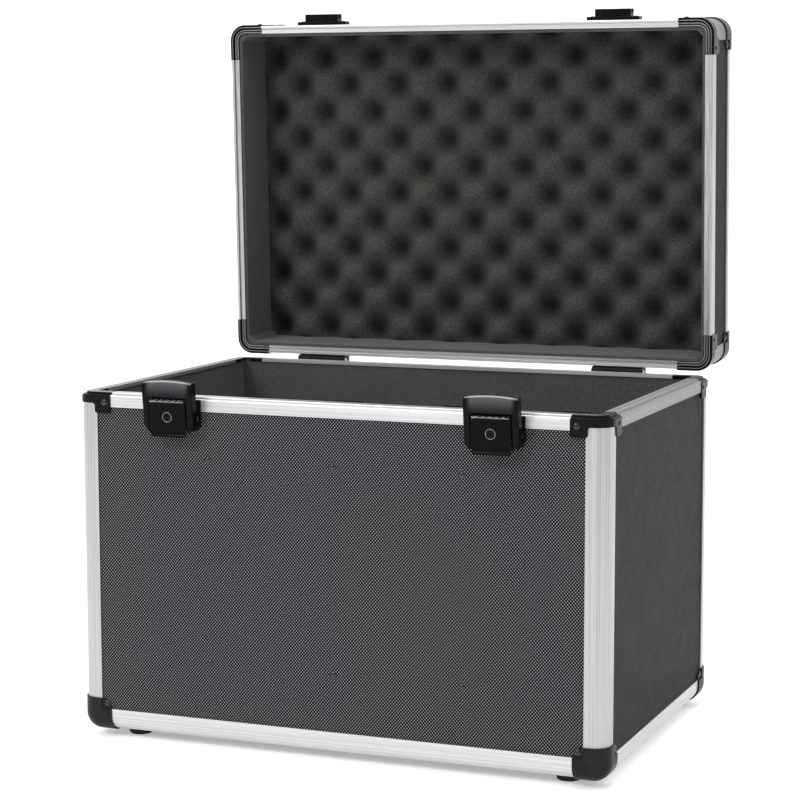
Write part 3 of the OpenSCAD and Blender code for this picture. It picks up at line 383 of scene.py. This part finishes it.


# The same aluminium is palest on the rims and edges along x and y; the upright pieces, the lower shell's
# side rims and the lid's posts get lower levels as painted shade
ALUMINIUM = {"x": aluminium("rim_aluminium", "x", 0.56), "y": aluminium("edge_aluminium", "y", 0.56),
             "z": aluminium("post_aluminium", "z", 0.42)}
SIDE_ALUMINIUM = aluminium("side_aluminium", "y", 0.26, 0.4, 0.5)
POST_ALUMINIUM = aluminium("lid_post_aluminium", "y", 0.23, 0.5, 0.5)
# The side boards take the laminate at half its colour level and with less shine: painted shade
LAMINATE = {"xz": laminate("laminate_xz", "x", "z"), "xy": laminate("laminate_xy", "x", "y"),
            "yz": laminate("laminate_yz_painted_shade", "y", "z", 0.5, 0.02)}
BRACKET = plastic("bracket_plastic", 0.006, 0.2, 0.05)
# Painted highlight: the bracket ridges are a pale grey plastic standing in for the highlights along their
# crests
RIDGE = plastic("ridge_painted_highlight", 0.17, 0.24, 0.5)
CORNER = plastic("corner_plastic", 0.016, 0.3, 0.05)
LATCH = plastic("latch_plastic", 0.003, 0.26, 0.08)
# The claw turns pale where its mesh stores painted light: lighter towards its crown, a painted highlight on
# the crown's edge
CLAW = plastic("claw_plastic", 0.002, 0.28, 0.07, painted_light=0.5)
CHEEK = plastic("latch_base_plastic", 0.004, 0.34, 0.1)
# The lever turns pale where its mesh stores a painted highlight along its finger edge
LATCH_LEVER = plastic("lever_plastic", 0.002, 0.24, 0.05, painted_light=0.55)
LOCK_FACE = plastic("lock_face_plastic", 0.002, 0.24, 0.08)
HANDLE = plastic("handle_plastic", 0.01, 0.42, 0.4)
RAIL = plastic("rail_plastic", 0.01, 0.5, 0.3)
FELT = felt("felt", 0.056)
FOAM = open_foam("foam")
RUBBER = rubber("foot_rubber")
GLOSS_RIVET = plastic("black_rivet", 0.002, 0.12, 0.6, grain=0.1)
DARK_RIVET = plastic("dark_rivet", 0.002, 0.14, 0.5, grain=0.1)
STEEL = metal("bright_steel", 0.55, 0.28)
HINGE_STEEL = metal("hinge_steel", 0.01, 0.4)
LOCK = metal("lock_metal", 0.14, 0.2)


# ---------- the CAD's own nodes ----------

def dress(nodes, material, width=0.0, segments=2):
    """Gives CAD nodes their material and, where a width is given, softer edges."""
    for name in nodes.split():
        node = NODES[name]
        node.data.materials.clear()
        node.data.materials.append(material)
        if width:
            join_points(node)
            soften(node, width, segments)


def dress_boards_and_edges():
    fine = 0.2 * MM
    dress("front_panel back_panel lid_top_panel", LAMINATE["xz"])
    dress("left_panel right_panel lid_left_panel lid_right_panel", LAMINATE["yz"])
    dress("bottom_panel lid_front_panel lid_back_panel", LAMINATE["xy"])
    dress("corner_posts lid_edges_short lid_rim_left lid_rim_right", ALUMINIUM["z"], fine)
    dress("bottom_edges_long rim_front rim_back", ALUMINIUM["x"], fine)
    dress("lid_edges_long lid_rim_front lid_rim_back", ALUMINIUM["x"], fine)
    dress("bottom_edges_short", ALUMINIUM["y"], fine)
    dress("rim_left rim_right", SIDE_ALUMINIUM, fine)
    dress("lid_posts", POST_ALUMINIUM, fine)


def dress_hardware():
    dress("rim_brackets lid_rim_brackets", BRACKET, 0.4 * MM)
    dress("ball_corners lid_ball_corners", CORNER, 0.5 * MM, 3)
    dress("feet", RUBBER, 0.6 * MM)
    dress("foot_screws hinge_pins handle_pins", STEEL, 0.25 * MM)
    dress("claw_pins lever_pin_left lever_pin_right", HINGE_STEEL, 0.2 * MM)
    dress("body_rivets lid_rivets", DARK_RIVET)
    dress("rail_rivets", GLOSS_RIVET)
    dress("divider_rails", RAIL, 0.3 * MM)
    dress("latch_base_left latch_base_right", CHEEK, 0.4 * MM)
    dress("hinge_body_leaf_left hinge_body_leaf_right", HINGE_STEEL, 0.3 * MM)
    dress("hinge_lid_leaf_left hinge_lid_leaf_right", HINGE_STEEL, 0.3 * MM)
    dress("keeper_left keeper_right", LATCH, 0.5 * MM, 3)
    dress("handle_brackets", HANDLE, 0.6 * MM, 3)
    dress("lock_plug_left lock_plug_right", LOCK_FACE, 0.3 * MM)


# ---------- soft lining ----------

# Points along the long and the short walls of a lining
WALL_POINTS_X, WALL_POINTS_Y = 43, 37
FELT_SOFT = 0.7 * MM
FELT_WAVE = 0.35 * MM


def ring_outline(half_x, half_y, cut):
    """Closed outline of a rectangle with cut corners; every size has the same number of points."""
    corners = [(-1, -1), (1, -1), (1, 1), (-1, 1)]
    points = []
    for index, (sx, sy) in enumerate(corners):
        ex, ey = corners[(index + 1) % 4]
        dx, dy = (ex - sx) / 2 * cut, (ey - sy) / 2 * cut
        start = (sx * half_x + dx, sy * half_y + dy)
        stop = (ex * half_x - dx, ey * half_y - dy)
        count = WALL_POINTS_X if sy == ey else WALL_POINTS_Y
        for t in linspace(0, 1, count):
            points.append((start[0] + (stop[0] - start[0]) * t, start[1] + (stop[1] - start[1]) * t))
    return points


def ring_section(low, high, thickness):
    """Points of a lining's section: depth, height and how far the face may swell there."""
    soft = FELT_SOFT
    section = [(0.0, low, 0.0)]
    section += [(thickness - soft + dx, low + soft + dz, 0.0) for dx, dz in arc(0, 0, soft, -90, 0, 5)]
    for z in linspace(low + 4 * soft, high - 4 * soft, 20):
        section.append((thickness, z, 1.0))
    section += [(thickness - soft + dx, high - soft + dz, 0.0) for dx, dz in arc(0, 0, soft, 0, 90, 5)]
    section.append((0.0, high, 0.0))
    return section


def padded_ring(half_x, half_y, low, high, thickness, cut):
    """Felt along four walls; its face swells a little and its corners may be cut at 45 degrees."""
    verts = []
    outline = []
    section = ring_section(low, high, thickness)
    for depth, z, swell in section:
        outline = ring_outline(half_x - depth, half_y - depth, max(0.02 * MM, cut * depth / thickness))
        for x, y in outline:
            wave = (noise.noise(Vector((x * 16, y * 16, z * 16))) - 0.6) * FELT_WAVE * swell
            from_side, from_end = half_x - abs(x), half_y - abs(y)
            push = wave if min(from_side, from_end) < thickness + 0.1 * MM else 0.0
            if from_side < from_end:
                verts.append((x - math.copysign(push, x), y, z))
            else:
                verts.append((x, y - math.copysign(push, y), z))
    return verts, grid_faces(len(outline), len(section), closed=True)


def line_walls(name, source, matrix, body, thickness, cut):
    """Felt ring in place of a box-like CAD lining."""
    low, high = local_box(source, matrix)
    verts, faces = padded_ring(high.x, high.y, low.z, high.z, thickness, cut)
    ring = new_piece(name, verts, faces, matrix, body, FELT, [source])
    crease(ring)


def line_floor():
    """Crowned felt pad with rounded edges and a stitched line near its border."""
    low, high = local_box("floor_lining", SHELL)
    columns, rows = 97, 65
    stitch, dip, half_seam = 22 * MM, 1.1 * MM, 1.6 * MM
    edge, edge_drop, uneven = 5 * MM, 2.2 * MM, 0.3 * MM
    verts = []
    for y in linspace(low.y, high.y, rows):
        for x in linspace(low.x, high.x, columns):
            inset = min(x - low.x, high.x - x, y - low.y, high.y - y)
            fall = max(0.0, 1 - inset / edge) ** 2 * edge_drop
            seam = dip * hump(inset, stitch, half_seam)
            wave = (noise.noise(Vector((x * 14, y * 14, 3))) - 1) * uneven
            verts.append((x, y, high.z - fall - seam + wave))
    faces = grid_faces(columns, rows)
    close_block(verts, faces, columns, rows, low.z)
    pad = new_piece("floor_felt", verts, faces, SHELL, "lower_shell", FELT, ["floor_lining"])
    crease(pad, 50)


# ---------- egg-crate foam ----------

# Pitch of the pattern, depth of its pits, place of one peak and spacing of the mesh's points
FOAM_ACROSS = 55.9 * MM
FOAM_ALONG = 58.2 * MM
FOAM_DEPTH = 14 * MM
FOAM_SHIFT = (-10.6 * MM, 5.3 * MM)
FOAM_STEP = 2.6 * MM
PEAK_GAP = 0.8 * MM


def foam_depth(x, y):
    """0 on a peak of the egg-crate pattern, 1 at the bottom of a pit."""
    u = math.cos(math.tau * (x - FOAM_SHIFT[0]) / FOAM_ACROSS)
    v = math.cos(math.tau * (y - FOAM_SHIFT[1]) / FOAM_ALONG)
    return 0.5 - 0.5 * u * v


def close_block(verts, faces, columns, rows, back_z):
    """Adds the side walls and the flat back of a block whose front is a grid of points."""
    rim = list(range(columns))
    rim += [(j + 1) * columns - 1 for j in range(1, rows)]
    rim += [(rows - 1) * columns + i for i in range(columns - 2, -1, -1)]
    rim += [j * columns for j in range(rows - 2, 0, -1)]
    base, count = len(verts), len(rim)
    verts += [(verts[i][0], verts[i][1], back_z) for i in rim]
    faces += [(rim[i], base + i, base + (i + 1) % count, rim[(i + 1) % count]) for i in range(count)]
    faces.append(tuple(base + i for i in range(count)))


def line_foam():
    """Egg-crate foam sheet in the lid, its pits stored on the mesh so that the foam's colour paints shade
    into them.
    """
    low, high = local_box("foam_pad", LID)
    columns = round((high.x - low.x) / FOAM_STEP)
    rows = round((high.y - low.y) / FOAM_STEP)
    verts, depths = [], []
    for y in linspace(low.y, high.y, rows):
        for x in linspace(low.x, high.x, columns):
            lump = noise.noise(Vector((x * 45, y * 45, 7))) * 0.5 * MM
            fine = noise.noise(Vector((x * 300, y * 300, 9))) * 0.2 * MM
            depth = foam_depth(x, y)
            depths.append(depth)
            verts.append((x, y, low.z + PEAK_GAP + FOAM_DEPTH * depth + lump + fine))
    faces = grid_faces(columns, rows)
    close_block(verts, faces, columns, rows, high.z)
    faces = [tuple(reversed(face)) for face in faces]
    # The block's sides and back get a fixed share of the painted pit shade
    depths += [0.6] * (len(verts) - len(depths))
    foam = new_piece("foam_sheet", verts, faces, LID, "lid", FOAM, ["foam_pad"])
    # Stores the pits' depth, which paints shade into them
    foam.data.attributes.new("pit", "FLOAT", "POINT").data.foreach_set("value", depths)
    crease(foam, 60)


# ---------- latches ----------

def shell_of(piece, thickness, width):
    """Gives an open sheet its wall, inward from its faces, then rounds its edges."""
    wall = piece.modifiers.new("Wall", "SOLIDIFY")
    wall.thickness = thickness
    wall.offset = -1
    soften(piece, width, 2, angle=40)


# Claw: wall, cut of its lower corners, arch and lean of its crown, turned edge of its window, rear ends
CLAW_WALL = 1.5 * MM
LATCH_ROUND = 0.3 * MM
CHEEK_CUT, CHEEK_WIDE, CHEEK_TALL = 8 * MM, 7 * MM, 16 * MM
ARCH = 2.0 * MM
PLATE_LEAN = 2.2 * MM
WINDOW_TURN = 0.9 * MM
CHEEK_REAR, ROOF_REAR = -4.2 * MM, -7.5 * MM


def claw_outline(half, window, face, rear):
    """The claw from above: left cheek, rounded edge, front strip, window, and the same mirrored."""
    turn = 1.3 * MM
    side = [(-half, rear), (-half, (rear + face) / 2)]
    side += [(-half + turn + dx, face + turn + dy) for dx, dy in arc(0, 0, turn, 180, 270, 5)]
    side += [(-half + 3.4 * MM, face), (-window - 1.0 * MM, face)]
    middle = [(x, face) for x in linspace(-window, window, 31)]
    return side + middle + [(-x, y) for x, y in reversed(side)], len(side), len(middle)


def claw_rows(low_z, window_top, top, face, roof_rear):
    """Rows of the claw from its lower end over its crown: least depth, height, share of the arch."""
    rows = [(face, z, 0.0) for z in linspace(low_z, window_top, 13)]
    crown = top - 1.1 * MM
    for t in linspace(0, 0.96, 9)[1:] + [1.0]:
        rows.append((face + PLATE_LEAN * t * t, window_top + (crown - window_top) * t, t))
    slope = [(0.25, 0.4), (0.7, 0.65), (2.0, 0.85), (3.4, 1.1)]
    rows += [(face + PLATE_LEAN + dy * MM, crown + dz * MM, 1.0) for dy, dz in slope]
    rows.append((roof_rear, top, 1.0))
    return rows


def claw_painted_light(share, depth, inward):
    """Painted light on the claw's front: paler towards its crown, as if lit from above, and palest on the
    crown's edge, a painted highlight.
    """
    middle = smooth_step(inward, 2.5 * MM, 8 * MM)
    if share < 1.0:
        return 0.17 * share ** 1.4 * middle
    return 0.3 + 0.3 * middle if depth < PLATE_LEAN + 0.8 * MM else 0.03


def build_claw(side):
    """Claw plate: cut cheeks, a window for the lever and an arched crown that turns back."""
    matrix = claw_frame(side)
    low, high = local_box("claw_" + side, matrix)
    _, lever_high = local_box("lever_" + side, matrix)
    half, face = high.x, low.y
    window, window_top = lever_high.x + 0.5 * MM, lever_high.z + 1.1 * MM
    path, start, count = claw_outline(half, window, face, CHEEK_REAR)
    rows = claw_rows(low.z, window_top, high.z, face, ROOF_REAR)
    verts, painted_light = [], []
    for depth, z, share in rows:
        for index, (x, y) in enumerate(path):
            outer = max(0.0, (abs(x) - half + CHEEK_WIDE) / CHEEK_WIDE)
            lift = CHEEK_CUT * outer ** 2 * max(0.0, 1 - (z - low.z) / CHEEK_TALL)
            in_window = start <= index < start + count
            turned = WINDOW_TURN * (1 - smooth_step(z, window_top, window_top + 1.5 * MM)) * in_window
            verts.append((x, max(y, depth) + turned, z + lift - ARCH * share * (x / half) ** 2))
            # Painted light: paler towards the crown, with a painted highlight on the crown's edge
            painted_light.append(claw_painted_light(share, depth - face, half - abs(x)) * (y == face))
    window_rows = sum(1 for row in rows if row[1] < window_top - 0.01 * MM)
    width = len(path)
    faces = []
    for index, face_points in enumerate(grid_faces(width, len(rows))):
        row, column = divmod(index, width - 1)
        if row >= window_rows or not start <= column < start + count - 1:
            faces.append(face_points)
    claw = new_piece("claw_shell_" + side, verts, faces, matrix, "latch_claw_" + side, CLAW,
                     ["claw_" + side])
    claw.data.attributes.new("painted_light", "FLOAT", "POINT").data.foreach_set("value", painted_light)
    shell_of(claw, CLAW_WALL, LATCH_ROUND)


# Lever: height of its lock, place of its face, wall, wavy finger edge and the lock's ring
LOCK_Z = 307 * MM
LEVER_FACE = -14.3 * MM
LEVER_WALL = 2.2 * MM
FINGER_PITCH = 6.2 * MM
FINGER_WAVE = 0.3 * MM
RING_R, RING_TUBE = 4.5 * MM, 0.55 * MM


def finger_wave(x):
    return math.cos(math.tau * x / FINGER_PITCH)


def lever_relief(t, z, bottom, top):
    """How far the lever's face stands out: crown, finger edges at both ends, creases at the lock."""
    crown = 0.25 * MM * (1 - t * t)
    curl = 0.3 * hump(t, -0.86, 0.08)
    lip = (0.7 + curl) * MM * hump(z, top - 1.5 * MM, 0.75 * MM) * (1 - t ** 12)
    tail = 0.9 * MM * hump(z, bottom + 1.3 * MM, 1.4 * MM)
    fold = 0.3 * MM * hump(z, LOCK_Z + 0.6 * MM, 0.45 * MM) * (0.42 < abs(t) < 0.86)
    edge = 0.7 * MM * max(0.0, (abs(t) - 0.95) / 0.05) ** 2
    return crown + lip + tail + fold - edge


def finger_painted_light(t, x, z, top):
    """Painted highlight on the lever: a pale line of uneven strength along the crest of its finger edge."""
    wave = finger_wave(x)
    strength = 0.4 + 0.15 * wave + 0.4 * hump(t, -0.84, 0.1)
    return strength * hump(z, top - 1.4 * MM, 0.5 * MM) * (abs(t) < 0.93)


def build_lever(side):
    """Flat lever with a wavy finger edge along its top, round lower corners and a ringed lock."""
    matrix = claw_frame(side)
    low, high = local_box("lever_" + side, matrix)
    half, corner, finger = high.x, 3.2 * MM, 4.5 * MM
    bottom, top = low.z, high.z
    heights = linspace(bottom, bottom + corner, 10)[:-1]
    heights += linspace(bottom + corner, top - finger, 26)[:-1]
    heights += linspace(top - finger, top, 14)
    columns = 75
    verts, painted_light = [], []
    for z in heights:
        down = max(0.0, 1 - (z - bottom) / corner)
        width = half - corner * (1 - math.sqrt(max(0.0, 1 - down * down)))
        for t in linspace(-1, 1, columns):
            x = width * t
            wavy = FINGER_WAVE * finger_wave(x) * smooth_step(z, top - 4 * MM, top - MM)
            verts.append((x, LEVER_FACE - lever_relief(t, z, bottom, top), z + wavy))
            # Painted highlight: a pale line along the crest of the finger edge
            painted_light.append(finger_painted_light(t, x, z, top))
    faces = grid_faces(columns, len(heights))
    lever = new_piece("lever_shell_" + side, verts, faces, matrix, "latch_lever_" + side, LATCH_LEVER,
                      ["lever_" + side])
    lever.data.attributes.new("painted_light", "FLOAT", "POINT").data.foreach_set("value", painted_light)
    shell_of(lever, LEVER_WALL, LATCH_ROUND)
    verts, faces = torus(LEVER_FACE - 0.4 * MM, LOCK_Z, RING_R, RING_TUBE)
    new_piece("lock_ring_" + side, verts, faces, matrix, "latch_lever_" + side, LOCK)


def torus(cy, cz, radius, tube, around=40, section=10):
    """A ring about the y direction, centred at x = 0."""
    verts = []
    for i in range(around):
        a = math.tau * i / around
        for j in range(section):
            b = math.tau * j / section
            r = radius + tube * math.cos(b)
            verts.append((r * math.cos(a), cy + tube * math.sin(b), cz + r * math.sin(a)))
    faces = []
    for i in range(around):
        for j in range(section):
            a = i * section + j
            b = i * section + (j + 1) % section
            c = (i + 1) % around * section
            faces.append((a, b, c + (j + 1) % section, c + j))
    return verts, faces


# ---------- handle ----------

# Half width and half thickness of the handle's arms, what its grip adds, and its ribs
ARM_WIDE, ARM_THICK = 2.6 * MM, 4.3 * MM
GRIP_WIDE, GRIP_THICK, GRIP_RISE = 8.2 * MM, 2.0 * MM, 22 * MM
RIB, RIB_PITCH = 0.35 * MM, 9 * MM


def build_handle():
    """Moulded handle: two arms that swell into a ribbed grip."""
    _, high = local_box("handle_grip", LID)
    pin_low, pin_high = local_box("handle_pins", LID)
    pin_z = (pin_low.z + pin_high.z) / 2
    end = high.x - ARM_WIDE
    mid_y = high.y - 11 * MM
    bend = 12 * MM
    path = [(-end, y) for y in linspace(-1.5 * MM, mid_y - bend, 8)]
    path += [(-end + bend + dx, mid_y - bend + dy) for dx, dy in arc(0, 0, bend, 180, 90, 9)][1:]
    path += [(x, mid_y) for x in linspace(-end + bend, 0, 26)][1:]
    path += [(-x, y) for x, y in reversed(path[:-1])]
    count = 24
    verts = []
    for index, (x, y) in enumerate(path):
        before = path[max(0, index - 1)]
        after = path[min(len(path) - 1, index + 1)]
        tangent = Vector((after[0] - before[0], after[1] - before[1])).normalized()
        side = Vector((-tangent.y, tangent.x))
        grip = smooth_step(end - bend * 0.4 - abs(x), 0.0, GRIP_RISE)
        rib = RIB * math.cos(math.tau * x / RIB_PITCH) * grip
        wide = ARM_WIDE + GRIP_WIDE * grip + rib
        thick = ARM_THICK + GRIP_THICK * grip + rib
        for k in range(count):
            a = math.tau * k / count
            c, s = math.cos(a), math.sin(a)
            u = math.copysign(abs(c) ** 0.75, c) * wide
            w = math.copysign(abs(s) ** 0.75, s) * thick
            verts.append((x + side.x * u, y + side.y * u, pin_z + w))
    faces = grid_faces(count, len(path), closed=True)
    faces.append(tuple(reversed(range(count))))
    faces.append(tuple(len(verts) - count + k for k in range(count)))
    new_piece("handle_bar", verts, faces, LID, "handle", HANDLE, ["handle_grip"])


# ---------- ridges on the rim brackets ----------

# Corner's bend, how far the ridges keep from its outside, their reach, rise and what lies below the face
EDGE_R = 15 * MM
RIDGE_INSET = 1.2 * MM
RIDGE_ARM = 34.6 * MM
RIDGE_RISE, RIDGE_SUNK = 0.2 * MM, 0.08 * MM

# Each ridge's distance inward, its height above the lid's seam face or the tongue's top, and its half width
RIM_STEP = 2 * MM
LID_RIDGES = [(1.6 * MM, -RIM_STEP, 0.35 * MM), (4.4 * MM, 0.0, 0.6 * MM), (6.8 * MM, 0.0, 0.6 * MM)]
RIM_RIDGES = [(inward * MM, 0.0, 0.6 * MM) for inward in (6.6, 9.6, 12.4)]


def corner_path(half_x, half_y, arm):
    """L-shaped path and its inward normals round one rounded corner, drawn at (-x, -y)."""
    path = [(-half_x, -half_y + y) for y in linspace(arm, EDGE_R, 4)[:-1]]
    normals = [(1.0, 0.0)] * len(path)
    for angle in linspace(180, 270, 13):
        c, s = math.cos(math.radians(angle)), math.sin(math.radians(angle))
        path.append((-half_x + EDGE_R + EDGE_R * c, -half_y + EDGE_R + EDGE_R * s))
        normals.append((-c, -s))
    for x in linspace(EDGE_R, arm, 4)[1:]:
        path.append((-half_x + x, -half_y))
        normals.append((0.0, 1.0))
    return path, normals


def bracket_ridges(name, matrix, body, brackets, ridges, face_z, up):
    """Low concentric ridges on the four rim brackets, on the side that up points to, in a pale plastic that
    paints their highlights.
    """
    _, high = local_box(brackets, matrix)
    path, normals = corner_path(high.x - RIDGE_INSET, high.y - RIDGE_INSET, RIDGE_ARM)
    verts, faces = [], []
    for depth, height, half_w in ridges:
        foot = face_z + height - up * RIDGE_SUNK
        bump = [(depth + half_w * dx, foot + up * RIDGE_RISE * dz) for dx, dz in arc(0, 0, 1, 180, 0, 9)]
        points = sweep(path, bump, normals)
        quads = grid_faces(len(bump), len(path))
        for mx in (1, -1):
            for my in (1, -1):
                start = len(verts)
                verts += [(x * mx, y * my, z) for x, y, z in points]
                flip = mx * my * up > 0
                faces += [tuple(start + i for i in (q if flip else reversed(q))) for q in quads]
    new_piece(name, verts, faces, matrix, body, RIDGE)


# ---------- stage, lights and camera ----------

def stage_material():
    s = Shader("stage_white")
    clouds = s.noise(2.0, 2.0)
    colour = s.blend(clouds, grey(0.84), grey(0.88))
    return s.finish(Base_Color=colour, Roughness=0.9, Specular_IOR_Level=0.1,
                    Emission_Color=grey(1.0), Emission_Strength=0.35)


def build_stage():
    """Pale floor that curves up into a backdrop."""
    width, front, back, radius, tall = 9.0, -6.0, 4.0, 1.5, 6.0
    profile = [(front, 0.0), (back - radius, 0.0)]
    profile += [(back - radius + dy, radius + dz) for dy, dz in arc(0, 0, radius, -90, 0, 12)]
    profile.append((back, tall))
    verts = [(x, y, z) for y, z in profile for x in (-width, width)]
    faces = grid_faces(2, len(profile))
    mesh = bpy.data.meshes.new("stage_floor")
    mesh.from_pydata(verts, [], faces)
    for polygon in mesh.polygons:
        polygon.use_smooth = True
    mesh.materials.append(stage_material())
    floor = bpy.data.objects.new("stage_floor", mesh)
    bpy.context.scene.collection.objects.link(floor)


def add_light(name, place, target, size, power):
    light = bpy.data.lights.new(name, "AREA")
    light.shape = "RECTANGLE"
    light.size, light.size_y = size
    light.energy = power
    lamp = bpy.data.objects.new(name, light)
    lamp.location = place
    lamp.rotation_euler = (Vector(target) - Vector(place)).to_track_quat("-Z", "Y").to_euler()
    bpy.context.scene.collection.objects.link(lamp)


# The sky's strength below LOW_SKY and above HIGH_SKY, both heights of a direction, and as the camera sees it
LOW_SKY, HIGH_SKY = 0.1, 0.8
HORIZON, OVERHEAD, SEEN_WHITE = 0.5, 1.25, 1.3


def build_lights():
    """A soft sky, brightest overhead and white where the camera sees it, a key light and a top light."""
    world = bpy.data.worlds.new("studio")
    world.use_nodes = True
    background = world.node_tree.nodes["Background"]
    tree = world.node_tree
    split = tree.nodes.new("ShaderNodeSeparateXYZ")
    tree.links.new(tree.nodes.new("ShaderNodeTexCoord").outputs["Generated"], split.inputs[0])
    fade = tree.nodes.new("ShaderNodeMapRange")
    tree.links.new(split.outputs["Z"], fade.inputs["Value"])
    for socket, number in zip(MAP_SOCKETS, (LOW_SKY, HIGH_SKY, HORIZON, OVERHEAD)):
        fade.inputs[socket].default_value = number
    background.inputs["Color"].default_value = (1.0, 1.0, 1.0, 1.0)
    seen = tree.nodes.new("ShaderNodeMix")
    tree.links.new(tree.nodes.new("ShaderNodeLightPath").outputs["Is Camera Ray"], seen.inputs["Factor"])
    tree.links.new(fade.outputs[0], seen.inputs["A"])
    seen.inputs["B"].default_value = SEEN_WHITE
    tree.links.new(seen.outputs["Result"], background.inputs["Strength"])
    bpy.context.scene.world = world
    bpy.context.scene.view_settings.view_transform = "Standard"
    middle = (0.0, 0.0, 0.35)
    add_light("key", (-1.3, -2.7, 2.2), middle, (0.75, 0.75), 42)
    add_light("top", (0.0, -0.2, 2.8), middle, (2.4, 1.6), 40)


CAMERA_FROM_SHELL = Vector((828.2, -2067.0, 580.9)) * MM
CAMERA_DOWN = 7.0015
CAMERA_YAW = 21.889
CAMERA_ROLL = 0.09


def build_camera():
    data = bpy.data.cameras.new("camera")
    data.sensor_width = 36
    data.lens = 104.33
    camera = bpy.data.objects.new("camera", data)
    camera.location = SHELL @ CAMERA_FROM_SHELL
    camera.rotation_euler = (math.radians(90 - CAMERA_DOWN), math.radians(CAMERA_ROLL),
                             math.radians(CAMERA_YAW))
    bpy.context.scene.collection.objects.link(camera)
    bpy.context.scene.camera = camera


dress_boards_and_edges()
dress_hardware()
line_walls("wall_felt", "wall_linings", SHELL, "lower_shell", 5 * MM, 0.0)
line_walls("lid_felt", "lid_lining", LID, "lid", 3 * MM, 6 * MM)
line_floor()
line_foam()
for latch_side in ("left", "right"):
    build_claw(latch_side)
    build_lever(latch_side)
build_handle()
bracket_ridges("lid_bracket_ridges", LID, "lid", "lid_rim_brackets", LID_RIDGES, 0.0, -1)
TONGUE_TOP = local_box("rim_brackets", SHELL)[1].z
bracket_ridges("rim_bracket_ridges", SHELL, "lower_shell", "rim_brackets", RIM_RIDGES, TONGUE_TOP, 1)
build_stage()
build_lights()
build_camera()

bpy.context.view_layer.update()
